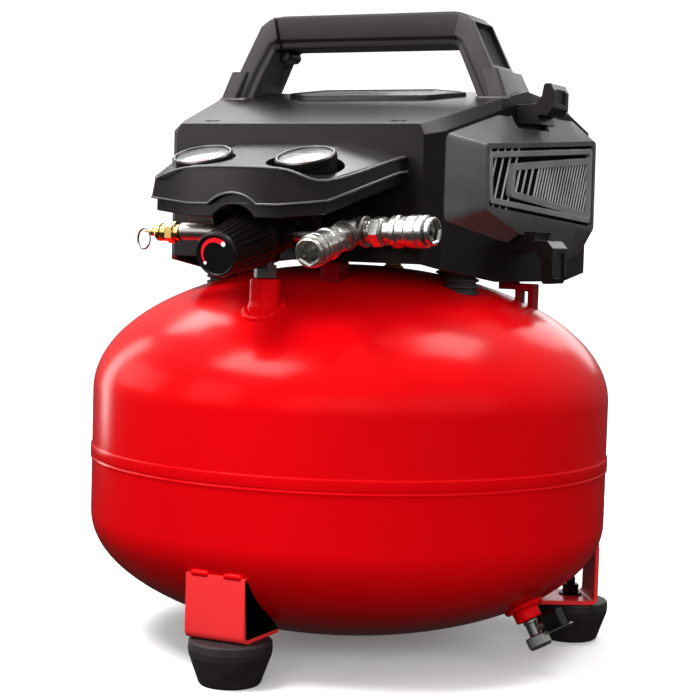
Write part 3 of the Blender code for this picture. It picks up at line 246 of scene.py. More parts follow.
# ---- shape helpers
def basis(origin, forward, across=RIGHT):
    """Matrix whose +Z runs along forward and whose +X lies as near across as it can."""
    z = Vector(forward).normalized()
    if abs(z.dot(Vector(across).normalized())) > 0.999:
        across = UP
    x = (Vector(across) - z * z.dot(Vector(across))).normalized()
    matrix = Matrix((x, z.cross(x), z)).transposed().to_4x4()
    matrix.translation = Vector(origin)
    return matrix


def ring_loop(shape, points):
    return [shape.verts.new(point) for point in points]


def bridge(shape, lower, upper):
    count = len(lower)
    for step in range(count):
        after = (step + 1) % count
        shape.faces.new([lower[step], lower[after], upper[after], upper[step]])


def loft(rings, caps=True, closed=False):
    """Skin closed rings of equal length; closed joins the last ring to the first."""
    shape = bmesh.new()
    loops = [ring_loop(shape, ring) for ring in rings]
    for lower, upper in zip(loops, loops[1:]):
        bridge(shape, lower, upper)
    if closed:
        bridge(shape, loops[-1], loops[0])
    elif caps:
        shape.faces.new(loops[0])
        shape.faces.new(loops[-1])
    return shape


def polar(radius, angle):
    return radius * cos(angle), radius * sin(angle)


def circle(radius, height, segments, warp=None):
    points = []
    for step in range(segments):
        angle = tau * step / segments
        reach = radius if warp is None else warp(radius, height, angle)
        points.append((*polar(reach, angle), height))
    return points


def polygon(radius, sides, turn=0.0):
    """Corners of a regular polygon, the first one at the angle turn."""
    return [polar(radius, turn + tau * step / sides) for step in range(sides)]


def lathe(profile, segments=48, warp=None):
    """Surface turned about +Z from (radius, z) points, closed where they start and end on the axis."""
    shape = bmesh.new()
    loops = [ring_loop(shape, [(0.0, 0.0, height)] if radius < ON_AXIS else
                       circle(radius, height, segments, warp)) for radius, height in profile]
    for lower, upper in zip(loops, loops[1:]):
        for step in range(segments):
            after = (step + 1) % segments
            corners = [lower[step % len(lower)], lower[after % len(lower)],
                       upper[after % len(upper)], upper[step % len(upper)]]
            face = list(dict.fromkeys(corners))
            if len(face) > 2:
                shape.faces.new(face)
    return shape


def ring_lathe(profile, segments=48, warp=None):
    """Solid of revolution with a through hole: the (radius, z) points form a closed loop."""
    return loft([circle(radius, height, segments, warp) for radius, height in profile], closed=True)


def rod(radius, low, high):
    """Lathe profile of a plain rod."""
    return [(0.0, low), (radius, low), (radius, high), (0.0, high)]


def turned(profile, easing, segments, place, warp=None):
    """Lathed solid with eased corners, put in place."""
    return placed(lathe(eased(profile, easing), segments, warp), place)


def eased(profile, radius, steps=3, closed=False):
    """Outline with its corners rounded to about radius, or less beside a short edge; open ends stay."""
    count = len(profile)
    result = []
    for index, corner in enumerate(profile):
        here = Vector(corner)
        before = Vector(profile[index - 1]) - here
        after = Vector(profile[(index + 1) % count]) - here
        at_end = not closed and index in (0, count - 1)
        if at_end or min(before.length, after.length) < NO_LENGTH:
            result.append(corner)
            continue
        turn = min(before.angle(after), radians(179.0))
        reach = min(radius / tan(turn / 2.0), before.length * 0.45, after.length * 0.45)
        start = here + before.normalized() * reach
        end = here + after.normalized() * reach
        for step in range(steps + 1):
            share = step / steps
            bend = start * (1.0 - share)**2 + here * 2.0 * share * (1.0 - share) + end * share**2
            result.append(tuple(bend))
    return result


def grown(outline, amount):
    """Closed 2D outline moved outwards by amount, corner by corner."""
    count = len(outline)
    area = sum(x0 * y1 - x1 * y0 for (x0, y0), (x1, y1) in zip(outline, outline[1:] + outline[:1]))
    side = 1.0 if area > 0.0 else -1.0
    result = []
    for index in range(count):
        here = Vector(outline[index])
        before = (here - Vector(outline[index - 1])).normalized()
        after = (Vector(outline[(index + 1) % count]) - here).normalized()
        first = Vector((before.y, -before.x)) * side
        second = Vector((after.y, -after.x)) * side
        between = (first + second).normalized()
        result.append(tuple(here + between * amount / max(0.3, between.dot(first))))
    return result


def prism(outline, place, low, high):
    """2D outline in place's XY plane, extruded along its Z from low to high."""
    return loft([[place @ Vector((x, y, depth)) for x, y in outline] for depth in (low, high)])


SIDEWAYS = Matrix(((1, 0, 0, 0), (0, 0, 1, 0), (0, 1, 0, 0), (0, 0, 0, 1)))     # outlines in XZ, depth on Y


def frame_ring(outer, inner, place, low, high):
    """Flat frame between two outlines of equal length."""
    rings = [(outer, low), (outer, high), (inner, high), (inner, low)]
    return loft([[place @ Vector((x, y, depth)) for x, y in ring] for ring, depth in rings], closed=True)


def box(bounds, place=Matrix()):
    (x0, x1), (y0, y1), (z0, z1) = bounds
    corners = [(x0, y0), (x1, y0), (x1, y1), (x0, y1)]
    return placed(loft([[(x, y, z) for x, y in corners] for z in (z0, z1)]), place)


def placed(shape, place):
    bmesh.ops.transform(shape, matrix=place, verts=shape.verts)
    return shape


def joined(*shapes):
    """All shapes in one bmesh."""
    whole = bmesh.new()
    for shape in shapes:
        mesh = bpy.data.meshes.new("part")
        shape.to_mesh(mesh)
        shape.free()
        whole.from_mesh(mesh)
        bpy.data.meshes.remove(mesh)
    return whole


def sweep(points, radius, sides=12, warp=None, closed=False):
    """Tube along points; warp(share) scales its radius."""
    points = [Vector(point) for point in points]
    count = len(points)
    rings = []
    normal = None
    for index, point in enumerate(points):
        before = points[index - 1] if closed or index > 0 else point
        after = points[(index + 1) % count] if closed or index < count - 1 else point
        along = (after - before).normalized()
        if normal is None:
            normal = along.orthogonal().normalized()
        normal = (normal - along * normal.dot(along)).normalized()
        other = along.cross(normal)
        reach = radius * (1.0 if warp is None else warp(index / max(1, count - 1)))
        rings.append([point + (normal * cos(2.0 * pi * i / sides)
                               + other * sin(2.0 * pi * i / sides)) * reach
                      for i in range(sides)])
    return loft(rings, closed=closed)


def curve_points(points, steps=8):
    """Catmull-Rom curve through the given points."""
    points = [Vector(point) for point in points]
    padded = [points[0] * 2.0 - points[1]] + points + [points[-1] * 2.0 - points[-2]]
    result = []
    for index in range(1, len(padded) - 2):
        a, b, c, d = padded[index - 1:index + 3]
        for step in range(steps):
            t = step / steps
            result.append(0.5 * ((2.0 * b) + (c - a) * t + (2.0 * a - 5.0 * b + 4.0 * c - d) * t**2
                                 + (3.0 * b - a - 3.0 * c + d) * t**3))
    result.append(points[-1])
    return result


def solid(shape, name="tool"):
    """A bmesh as an object in the row frame."""
    bmesh.ops.recalc_face_normals(shape, faces=shape.faces)
    bmesh.ops.translate(shape, vec=AXIS, verts=shape.verts)
    mesh = bpy.data.meshes.new(name)
    shape.to_mesh(mesh)
    shape.free()
    item = bpy.data.objects.new(name, mesh)
    bpy.context.collection.objects.link(item)
    return item


def settle(item):
    """Applies the object's modifiers to its mesh."""
    settled = bpy.data.meshes.new_from_object(item.evaluated_get(bpy.context.evaluated_depsgraph_get()))
    item.modifiers.clear()
    item.data = settled
    return item


def carved(item, *tools, operation="DIFFERENCE"):
    """Cuts the tools out of an object and removes them."""
    made = [solid(tool) for tool in tools]
    for tool in made:
        modifier = item.modifiers.new(tool.name, "BOOLEAN")
        modifier.operation = operation
        modifier.object = tool
        modifier.solver = "EXACT"
    settle(item)
    for tool in made:
        bpy.data.objects.remove(tool, do_unlink=True)
    return item


def shell(item, thickness):
    """Gives an open surface a wall on its inner side."""
    wall = item.modifiers.new("wall", "SOLIDIFY")
    wall.thickness = thickness
    wall.offset = -1.0
    wall.use_even_offset = True
    return settle(item)


def show(item, name, material, body=MAIN, replaces=(), edge=0.0, steps=3, smooth=35.0):
    """Names an object, gives it its material, rounds its edges and makes it ride on a body."""
    item.name = name
    item.data.name = name
    item.data.materials.clear()
    item.data.materials.append(material)
    item.data.shade_smooth()
    if edge > 0.0:
        bevel = item.modifiers.new("edges", "BEVEL")
        bevel.width = edge
        bevel.segments = steps
        bevel.limit_method = "ANGLE"
        bevel.angle_limit = EDGE_ANGLE
        bevel.harden_normals = True
        bevel.use_clamp_overlap = True
    else:
        item.data.set_sharp_from_angle(angle=radians(smooth))
        shading = item.modifiers.new("flat_faces", "WEIGHTED_NORMAL")
        shading.keep_sharp = True
        shading.weight = FACE_WEIGHT
    if replaces:
        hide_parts(*replaces)
    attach(item, body)
    return item


def piece(name, shape, material, *ride, **finish):
    return show(solid(shape), name, material, *ride, **finish)


def ripple(share):
    """Radius factor of a short weld bead: six overlapping drops, tapering off at both ends."""
    end = min(1.0, 6.0 * min(share, 1.0 - share) + 0.35)
    return end * (0.78 + 0.22 * abs(sin(pi * share * 6.0)))


# ---- tank
TANK_R = 0.1905
SEAM_Z = 0.1388
TANK_TOP_Z = SEAM_Z + 0.0443
TANK_BOTTOM_Z = SEAM_Z - 0.0443
TOP_DOME = 0.0954
BOTTOM_DOME = 0.0850
DRAIN_SPOT = (0.1500, -0.0200)
RISER_Y = centre_of("riser_nipple").y


def top_point(x, y, lift=0.0):
    """Point on the tank's upper dome, raised by lift."""
    height = sqrt(max(0.0, 1.0 - (x * x + y * y) / TANK_R**2))
    return Vector((x, y, TANK_TOP_Z + TOP_DOME * height + lift))


def bottom_point(x, y):
    """(point on the tank's lower dome, outward direction)."""
    height = TANK_BOTTOM_Z - BOTTOM_DOME * sqrt(1.0 - (x * x + y * y) / TANK_R**2)
    out = Vector((x / TANK_R**2, y / TANK_R**2, (height - TANK_BOTTOM_Z) / BOTTOM_DOME**2))
    return Vector((x, y, height)), out.normalized()


def build_tank():
    steps = 30
    quarter = [pi / 2.0 * step / steps for step in range(steps + 1)]
    profile = [(TANK_R * cos(angle), TANK_BOTTOM_Z - BOTTOM_DOME * sin(angle))
               for angle in reversed(quarter)]
    band = mm((0, -6.6), (0.9, -5.2), (1, -4.4), (0.3, -3.6), (0.3, -3), (1, -2.2), (1, 4), (0.7, 4.6),
              (0, 5.4))
    profile += [(TANK_R + proud, SEAM_Z + height) for proud, height in band]
    profile += [(TANK_R * cos(angle), TANK_TOP_Z + TOP_DOME * sin(angle)) for angle in quarter]
    piece("tank_body", lathe(profile, 192), RED, replaces=["tank"], smooth=60)
    build_bung("riser_bung", top_point(0.0, RISER_Y), UP, 0.0200)
    build_bung("check_valve_bung", top_point(-0.0200, 0.1120), UP, 0.0100)
    build_bung("drain_bung", *bottom_point(*DRAIN_SPOT), 0.0105, 0.0095)


def build_bung(name, point, out, height, radius=0.0104):
    """Boss with a bead of weld round its foot; on the upper dome the bead follows the surface."""
    place = basis(point, out)
    profile = [(0.0, -0.010), (radius * 1.12, -0.010), (radius * 1.12, 0.0010), (radius, 0.0045),
               (radius, height - 0.0008), (radius - 0.0008, height), (radius * 0.60, height),
               (radius * 0.56, height - 0.0010), (0.0, height - 0.0012)]
    piece(name, turned(profile, 0.0015, 48, place), RED, smooth=50)
    path = [place @ Vector((x, y, 0.0)) for x, y in polygon(radius * 1.22, 72)]
    if out.z > 0.99:
        path = [top_point(spot.x, spot.y, 0.0002) for spot in path]
    bead = sweep(path, 0.0030, 10, lambda share: 0.76 + 0.24 * abs(sin(pi * share * 17)), True)
    for vert in bead.verts:
        vert.co += out * 0.0008 * noise.noise(vert.co * 240.0)
    piece(name + "_weld", bead, RED, smooth=80)


# ---- legs and feet
FOOT_CIRCLE_R = 0.1715
LEG_ANGLES = {"front": -90.0, "right": 30.0, "left": 150.0}


def build_leg(name, angle):
    turn = Matrix.Rotation(radians(angle + 90.0), 4, "Z")
    low, thick, reach, top = 0.0303, 0.0030, 0.0480, 0.0745
    outer = -0.1870
    bend = [(outer, top), (outer, low), (outer + reach, low), (outer + reach, low + thick),
            (outer + thick, low + thick), (outer + thick, top)]
    outline = []
    for index, corner in enumerate(bend):
        radius = {1: 0.0062, 4: 0.0032}.get(index, 0.0003)
        outline += eased([bend[index - 1], corner, bend[(index + 1) % len(bend)]], radius, 5)[1:-1]
    upright = Matrix(((0, 0, 1, 0), (1, 0, 0, 0), (0, 1, 0, 0), (0, 0, 0, 1)))
    left, right = -0.0265, 0.0185
    plate = prism(outline, turn @ upright, left, right)
    # The leg plate takes the lighter red, painted light.
    piece("leg_plate_" + name, plate, LIT_LEG_RED, replaces=["leg_" + name], edge=0.0006, steps=2)

    for mark, start, end in (("a", left + 0.0030, left + 0.0180), ("b", right - 0.0170, right - 0.0020)):
        path = []
        for step in range(15):
            x = start + (end - start) * step / 14
            waver = 0.0003 * noise.noise((x * 400.0, 2.0, 5.0))
            path.append(turn @ Vector((x, outer + 0.0016 + waver, top + 0.0002)))
        piece(f"leg_weld_{name}_{mark}", sweep(path, 0.0027, 12, ripple), RED, smooth=80)

    centre = turn @ Vector((0.0, -FOOT_CIRCLE_R, 0.0))
    profile = mm((0, 0.6), (13, 0.6), (14, 0), (19.5, 0), (21, 1.6), (22.2, 5), (27.6, 20), (28.3, 24),
                 (28.1, 29), (26.8, 30), (0, 30))
    foot = turned(profile, 0.0020, 64, Matrix.Translation(centre))
    piece("rubber_foot_" + name, foot, RUBBER, replaces=["foot_" + name], smooth=40)
    build_foot_nut(name, centre + Vector((0.0, 0.0, low + thick)))


def build_foot_nut(name, base):
    """Washer, flanged hex nut and the stud's end."""
    washer = lathe(eased(rod(0.0088, 0.0, 0.0013), 0.0004), 32)
    nut = prism(polygon(0.0064, 6), Matrix(), 0.0013, 0.0080)
    stud = lathe(eased(mm((0, 0), (3.3, 0), (3.3, 12.8), (2.6, 13.6), (0, 13.6)), 0.0003), 20)
    threads = [sweep([(x, y, height) for x, y in polygon(0.0033, 20)], 0.00028, 6, closed=True)
               for height in (0.0088, 0.0098, 0.0108, 0.0118)]
    shape = placed(joined(washer, nut, stud, *threads), Matrix.Translation(base))
    piece("foot_nut_" + name, shape, DARK_STEEL, replaces=["foot_bolt_" + name], edge=0.0003, steps=2)


# ---- shroud
# y, half width and height of the top edge, half width of the wall, height of its foot
SHROUD_STATIONS = mm((-98, 93, 376, 96.5, 282), (-86, 97.5, 379, 106, 279), (-10, 115, 399, 117.5, 270),
        (24, 122.5, 407, 124.5, 270), (90, 127, 402, 132.5, 270), (128, 122, 391, 135, 276),
        (146, 100, 380, 106, 280))
SHROUD_BAND = 0.0075
SHROUD_WALL = 0.0028
SCREW_SPOT = (0.0730, -0.0880)
SCREW_SLOPE = radians(14.6)


def at_station(y, column):
    for near, far in zip(SHROUD_STATIONS, SHROUD_STATIONS[1:]):
        if near[0] <= y <= far[0]:
            share = (y - near[0]) / (far[0] - near[0])
            return near[column] + share * (far[column] - near[column])
    raise ValueError("y lies off the shroud")


def top_z(y):
    return at_station(y, 2)


def build_shroud():
    last = len(SHROUD_STATIONS) - 1
    foot, widest, ridge = [], [], []
    for sign, stations in ((1.0, SHROUD_STATIONS), (-1.0, SHROUD_STATIONS[::-1])):
        for y, ridge_x, ridge_z, wall_x, foot_z in stations:
            foot.append((sign * wall_x, y, foot_z))
            widest.append((sign * wall_x, y, ridge_z - SHROUD_BAND))
            ridge.append((sign * ridge_x, y, ridge_z))
    shape = bmesh.new()
    loops = [ring_loop(shape, ring) for ring in (foot, widest, ridge)]
    for lower, upper in zip(loops, loops[1:]):
        bridge(shape, lower, upper)
    top = loops[-1]
    for step in range(last):
        shape.faces.new([top[step], top[step + 1], top[-2 - step], top[-1 - step]])
    cover = shell(solid(shape), SHROUD_WALL)
    tools = [box(mm((100, 140), (-45, 95), (308, 370))),
             box(mm((-140, -100), (0, 92), (308, 372))),
             box(mm((-75, 30), (135, 160), (305, 356)))]
    slots = [screw_place(sign) for sign in (-1.0, 1.0)]
    tools += [prism(stadium(0.0022, 0.0038), place, -0.0012, 0.0050) for place in slots]
    carved(cover, *tools)
    show(cover, "pump_shroud", BLACK, replaces=["shroud"], edge=0.0022, steps=4)
    for side, place in zip(("left", "right"), slots):
        build_screw("shroud_screw_" + side, place @ Matrix.Translation((0.0, 0.0, -0.0011)), 0.0019)
    build_back_louvres()
    build_label_plate()


def screw_place(sign):
    """Spot on the shroud's front slope, square to it."""
    x, y = SCREW_SPOT
    return basis((sign * x, y, top_z(y)), (0.0, -sin(SCREW_SLOPE), cos(SCREW_SLOPE)))


def stadium(radius, half_length, steps=10):
    """Slot outline along X."""
    points = []
    for sign, start in ((1.0, -90.0), (-1.0, 90.0)):
        for step in range(steps + 1):
            x, y = polar(radius, radians(start + 180.0 * step / steps))
            points.append((sign * half_length + x, y))
    return points


def build_screw(name, place, radius):
    """Pan-head screw with a cross recess."""
    profile = [(0.0, 0.0), (radius, 0.0), (radius, radius * 0.35), (radius * 0.5, radius * 0.62),
               (0.0, radius * 0.66)]
    head = solid(turned(profile, 0.0004, 24, place))
    arm = ((-radius * 0.55, radius * 0.55), (-radius * 0.12, radius * 0.12), (radius * 0.3, radius))
    for turn in (20.0, 110.0):
        carved(head, box(arm, place @ Matrix.Rotation(radians(turn), 4, "Z")))
    show(head, name, DARK_STEEL)


def build_back_louvres():
    """Slats across the shroud's rear window."""
    slats = []
    for index in range(7):
        z = 0.3090 + index * 0.0073
        place = Matrix.Translation((-0.0225, 0.1446, z)) @ Matrix.Rotation(radians(-38.0), 4, "X")
        slats.append(box(mm((-53, 53), (-3.2, 3.2), (-0.8, 0.8)), place))
    piece("back_louvres", joined(*slats), BLACK, edge=0.0004, steps=2)


def build_label_plate():
    """Blank raised plate between the handle's legs, with a lipped border."""
    corners = mm((-41, -9.8), (59, -9.8), (85, 6), (52, 21.5), (-38, 21.5), (-63, 6))
    outer = eased(corners, 0.0030, 4, closed=True)
    levels = ((outer, -0.0010), (outer, 0.0026), (grown(outer, -0.0016), 0.0030),
              (grown(outer, -0.0026), 0.0023))
    rings = [[(x, y, top_z(y) + lift) for x, y in outline] for outline, lift in levels]
    piece("label_plate", loft(rings), GLOSS_BLACK, edge=0.0003, steps=2)


# ---- handle
HANDLE_Y = 0.0240
# x and z of the outer side, x and z of the inner side, half depth of each
HANDLE_STATIONS = mm((119.5, 390, 98.5, 388, 24, 21.2), (103, 423, 84, 419, 23.2, 20.6),
        (86.6, 456.2, 75.2, 436.6, 21.4, 19), (80, 461.2, 72.8, 437.8, 20.8, 18.4),
        (76.2, 462.8, 70.8, 438.4, 20.4, 18), (75, 463.2, 70, 438.6, 17.4, 15.8),
        (70, 464, 66, 438.8, 17, 15.6), (25, 464, 25, 438.8, 16.6, 15.4))
HANDLE_BAND = 0.0070
LEG_START_X = 0.0756
RECESS_FLOOR = mm((99, 425), (83.5, 454.5))
RECESS_HALF = 0.0172


def handle_section(width, half, inner_half):
    """Section across the handle: broad outer face, crease, and an inner band that is set back."""
    right = [(inner_half, 0.0), (inner_half, HANDLE_BAND - 0.0016), (half, HANDLE_BAND), (half, width)]
    left = [(-x, y) for x, y in reversed(right)]
    return eased(left[-1:] + right + left[:-1], 0.0026, 3, closed=True)


def build_handle():
    sides = [(1.0, station) for station in HANDLE_STATIONS]
    sides += [(-1.0, station) for station in reversed(HANDLE_STATIONS)]
    rings = []
    for sign, (outer_x, outer_z, inner_x, inner_z, half, inner_half) in sides:
        outer = Vector((sign * outer_x, HANDLE_Y, outer_z))
        inner = Vector((sign * inner_x, HANDLE_Y, inner_z))
        section = handle_section((outer - inner).length, half, inner_half)
        across = (outer - inner).normalized()
        rings.append([inner + across * v + Vector((0.0, u, 0.0)) for u, v in section])
    grip = solid(loft(rings))
    outer_cut = [*mm((112, 425)), *RECESS_FLOOR, *mm((93, 460))]
    inner_cut = mm((70, 413), (89.5, 413), (82, 428.5), (64, 426))
    tools = []
    for sign in (1.0, -1.0):
        for outline, half in ((outer_cut, RECESS_HALF), (inner_cut, 0.0140)):
            outline = eased([(sign * x, z) for x, z in outline], 0.0012, 2, closed=True)
            tools.append(prism(outline, SIDEWAYS, HANDLE_Y - half, HANDLE_Y + half))
    carved(grip, *tools)
    show(grip, "carrying_handle", HANDLE_BLACK, replaces=["handle"], edge=0.0006, steps=2)
    paint_handle_light_and_shade(grip)
    for side, sign in (("right", 1.0), ("left", -1.0)):
        build_handle_foot(side, sign)
    place = basis((-0.0715, HANDLE_Y - 0.0095, 0.4345), -CONSOLE_FRONT)
    piece("handle_boss", turned(rod(0.0046, 0.0, 0.0190), 0.0012, 32, place), HANDLE_BLACK, smooth=50)


def paint_handle_light_and_shade(grip):
    """Painted light and shade: lighter plastic on the legs as painted light, and a dull black inside their
    outer recesses as painted shade.
    """
    grip.data.materials.append(LIT_HANDLE_PLASTIC)
    grip.data.materials.append(INNER_BLACK)
    (near_x, near_z), (far_x, far_z) = RECESS_FLOOR
    along = Vector((far_x - near_x, far_z - near_z)).normalized()
    for face in grip.data.polygons:
        across = abs(face.center.x)
        if across < LEG_START_X:
            continue
        out = (across - near_x) * along.y - (face.center.z - near_z) * along.x
        inside = abs(face.center.y - AXIS.y - HANDLE_Y) < RECESS_HALF + 0.0001 and -0.0003 < out < 0.0140
        floor_or_wall = out < 0.0003 or abs(face.normal.y) > 0.9
        face.material_index = 2 if inside and floor_or_wall else 1


def build_handle_foot(side, sign):
    """Block that the handle's leg stands in, with a seam down its outer front corner."""
    def ring(outer_x, inner_x, half, lift):
        outline = [(inner_x, HANDLE_Y - half), (outer_x, HANDLE_Y - half), (outer_x, HANDLE_Y + half),
                   (inner_x, HANDLE_Y + half)]
        return [(sign * x, y, lift if lift > 0.3 else top_z(y) + lift) for x, y in
                eased(outline, 0.0022, 3, closed=True)]

    block = solid(loft([ring(0.1170, 0.1040, 0.0285, -0.0015), ring(0.1085, 0.0950, 0.0258, 0.4215)]))
    groove = box(((0.1010, 0.1300), (HANDLE_Y - 0.0246, HANDLE_Y - 0.0236), (0.3900, 0.4300)))
    if sign < 0.0:
        bmesh.ops.scale(groove, vec=(-1.0, 1.0, 1.0), verts=groove.verts)
    carved(block, groove)
    # The foot block and its lip take the lighter handle plastic, painted light.
    show(block, f"handle_foot_{side}", LIT_HANDLE_PLASTIC, edge=0.0010)
    lip = loft([ring(0.1180, 0.0925, 0.0300, -0.0010), ring(0.1165, 0.0945, 0.0286, 0.0014)])
    piece(f"handle_foot_lip_{side}", lip, LIT_HANDLE_PLASTIC, edge=0.0006)


# ---- right cover and grille
COVER_FACE_X = 0.1336
COVER_FACE_SLOPE = 0.093
COVER_BASE = mm((-86, 311), (-86, 370.5), (-10, 390), (24, 396), (90, 393.5), (127.5, 382.5),
        (123.5, 288), (90, 282))
COVER_FACE = mm((-61, 319.5), (-65, 365), (-10, 368), (24, 370.5), (90, 375), (118, 377), (119, 308),
        (90, 310))
GRILLE_OPENING = mm((-57, 322.8), (-60.5, 361.6), (114.2, 373.2), (115, 311.6))
INNER_FRAME = mm((-24, 330), (-21, 353.5), (108.5, 363.8), (109.5, 317.2))


def face_place():
    """Plane of the cover's face: X runs backwards along it, Y is up and Z points out."""
    out = Vector((1.0, -COVER_FACE_SLOPE, 0.0)).normalized()
    along = Vector((COVER_FACE_SLOPE, 1.0, 0.0)).normalized()
    matrix = Matrix((along, UP, out)).transposed().to_4x4()
    matrix.translation = Vector((COVER_FACE_X, 0.0, 0.0))
    return matrix


def on_face(outline):
    """(y, z) corners as coordinates in the face's plane."""
    stretch = sqrt(1.0 + COVER_FACE_SLOPE**2)
    return [(y * stretch, z) for y, z in outline]


def cap_shape(base, face, face_x, sign, base_radius, face_radius, wall):
    """Cap with rounded corners between the shroud's wall and a flat face, hollow behind."""
    base = eased(base, base_radius, 4, closed=True)
    face = eased(face, face_radius, 4, closed=True)

    def on_wall(outline):
        return [(sign * (at_station(y, 3) - 0.0020), y, z) for y, z in outline]

    def on_front(outline, depth):
        return [(sign * (face_x - depth + COVER_FACE_SLOPE * y), y, z) for y, z in outline]

    shape = loft([on_front(face, 0.0), on_wall(base), on_wall(grown(base, -wall)),
                  on_front(grown(face, -wall), wall)])
    bmesh.ops.triangulate(shape, faces=shape.faces)
    return shape


def build_right_cover():
    cover = solid(cap_shape(COVER_BASE, COVER_FACE, COVER_FACE_X, 1.0, 0.0080, 0.0045, 0.0026))
    place = face_place()
    tools = [prism(eased(on_face(GRILLE_OPENING), 0.0040, 5, closed=True), place, -0.0100, 0.0100)]
    for low, high in ((0.3795, 0.4000), (0.2800, 0.3040)):
        tools.append(box(((0.1000, 0.1470), (HANDLE_Y - 0.0225, HANDLE_Y + 0.0205), (low, high))))
    carved(cover, *tools)
    show(cover, "side_cap", GREY, replaces=["right_cover"], edge=0.0026, steps=5)
    build_grille(place)


def build_grille(place):
    opening = on_face(GRILLE_OPENING)
    inner = on_face(INNER_FRAME)

    def rounded(outline, amount, radius):
        return eased(grown(outline, amount), radius, 5, closed=True)

    rim = frame_ring(rounded(opening, -0.0022, 0.0040), rounded(opening, -0.0064, 0.0026), place,
                     -0.0042, 0.0002)
    piece("grille_rim", rim, FRAME_GREY, replaces=["right_grille"], edge=0.0007)
    core = frame_ring(rounded(inner, 0.0, 0.0040), rounded(inner, -0.0050, 0.0022), place, -0.0046, -0.0002)
    piece("grille_core_frame", core, FRAME_GREY, edge=0.0007)
    coarse = [slanted_fin(place, -0.0640 + index * 0.0105, opening, 0.0015, -0.0040, 0.0040)
              for index in range(5)]
    shade_fin_flanks(piece("grille_louvres", joined(*coarse), FIN_GREY, edge=0.0003, steps=2), place)
    window = grown(inner, -0.0035)
    fine = [slanted_fin(place, -0.0290 + 0.0100 * count, window, 0.0016, -0.0010, 0.0)
            for count in range(1, 5)]
    fine += [slanted_fin(place, 0.0110 + 0.0047 * count, window, 0.0012, -0.0010, 0.0)
             for count in range(1, 20)]
    shade_fin_flanks(piece("grille_fins", joined(*fine), FIN_GREY, edge=0.0002, steps=2), place)
    piece("grille_backing", prism(rounded(opening, 0.0050, 0.0040), place, -0.0130, -0.0118), INNER_BLACK)


def shade_fin_flanks(fins, place):
    """Painted shade: dull black on the fins' flanks, behind their grey front faces."""
    fins.data.materials.append(INNER_BLACK)
    out = place.to_3x3().col[2]
    for face in fins.data.polygons:
        face.material_index = int(face.normal.dot(out) < 0.7)


def edge_height(outline, x, pick):
    """Height of the outline's edges at x; pick is min or max."""
    heights = []
    for (x0, y0), (x1, y1) in zip(outline, outline[1:] + outline[:1]):
        if min(x0, x1) <= x <= max(x0, x1) and abs(x1 - x0) > 1e-6:
            heights.append(y0 + (y1 - y0) * (x - x0) / (x1 - x0))
    return pick(heights)


FIN_LEAN = 0.40
FIN_FOOT_Z = 0.3240
FIN_BACK = -0.0100


def slanted_fin(place, foot, outline, half, proud, spare):
    """Fin that leans backwards as it rises, between the outline's lower and upper edges."""
    first = min(x for x, _ in outline) + 0.001
    final = max(x for x, _ in outline) - 0.001

    def along(z):
        return foot + FIN_LEAN * (z - FIN_FOOT_Z)

    def reach(z, pick):
        return edge_height(outline, min(max(along(z), first), final), pick)

    low, high = reach(0.3240, min) - spare, reach(0.3600, max) + spare
    corners = ((low, -1.0), (low, 1.0), (high, 1.0), (high, -1.0))
    return loft([[place @ Vector((along(z) + side * half, z, depth)) for z, side in corners]
                 for depth in (FIN_BACK, proud)])


def build_left_cover():
    """Smaller vented cap over the cylinder's side."""
    base = mm((-5, 305), (-5, 378), (24, 385), (90, 386), (98, 383), (98, 300), (90, 300), (24, 303))
    face = mm((6, 315), (6, 368), (30, 374), (80, 375), (86, 373), (86, 311), (80, 311), (30, 313))
    cap = solid(cap_shape(base, face, 0.1340, -1.0, 0.0050, 0.0030, 0.0024))
    lows = [0.3190 + index * 0.0082 for index in range(6)]
    carved(cap, *(box(((-0.1500, -0.1200), (0.0140, 0.0780), (low, low + 0.0040))) for low in lows))
    show(cap, "left_vent_cap", GREY, replaces=["left_cover"], edge=0.0010)


# ---- cord hooks
HOOK_HALF = 0.0160


def build_hook(name, shelf_z, way, reach, node, end):
    """Shelf that turns into an upright tab with a panel sunk into its outer face, on a block in the cap."""
    outline = [(0.1160, -0.0078), (0.1390, -0.0078), (0.1372, -0.0016), (end - 0.0045, -0.0016),
               (end, 0.0036), (end, reach - 0.0050), (end - 0.0026, reach), (end - 0.0066, reach),
               (end - 0.0078, reach - 0.0014), (end - 0.0090, 0.0124), (end - 0.0132, 0.0066),
               (0.1160, 0.0062)]
    outline = [(x, shelf_z + way * z) for x, z in outline]
    hook = solid(prism(outline, SIDEWAYS, HANDLE_Y - HOOK_HALF, HANDLE_Y + HOOK_HALF))
    panel = [(-0.0098, reach - 0.0040), (0.0098, reach - 0.0040), (0.0086, 0.0072), (-0.0086, 0.0072)]
    carved(hook, loft([[(x, HANDLE_Y + y, shelf_z + way * z) for y, z in panel]
                       for x in (end - 0.0012, end + 0.0030)]))
    show(hook, name, BLACK, replaces=[node], edge=0.0011)


# ---- console and gauges
# right half of the cowl's top edge and of its lip, from the front
CONSOLE_TOP = mm((33, -184, 342), (64, -176, 335), (83, -112, 352), (83, -97, 353.8))
CONSOLE_LIP = mm((33, -185, 318), (66, -177, 321.5), (85, -112.5, 342), (85, -97, 343.8))
CONSOLE_RIDGE = (0.0400, -0.0970, 0.3636)
ARCH_Z = 0.2986
ARCH_R = 0.0266
HOOD_R = 0.0192


def console_ring(points, inset=0.0, drop=0.0):
    """Both halves of an outline round the console, from its right half."""
    right = [(x - inset, y + (inset if y < -0.1 else 0.0), z - drop) for x, y, z in points]
    return right + [(-x, y, z) for x, y, z in reversed(right)]


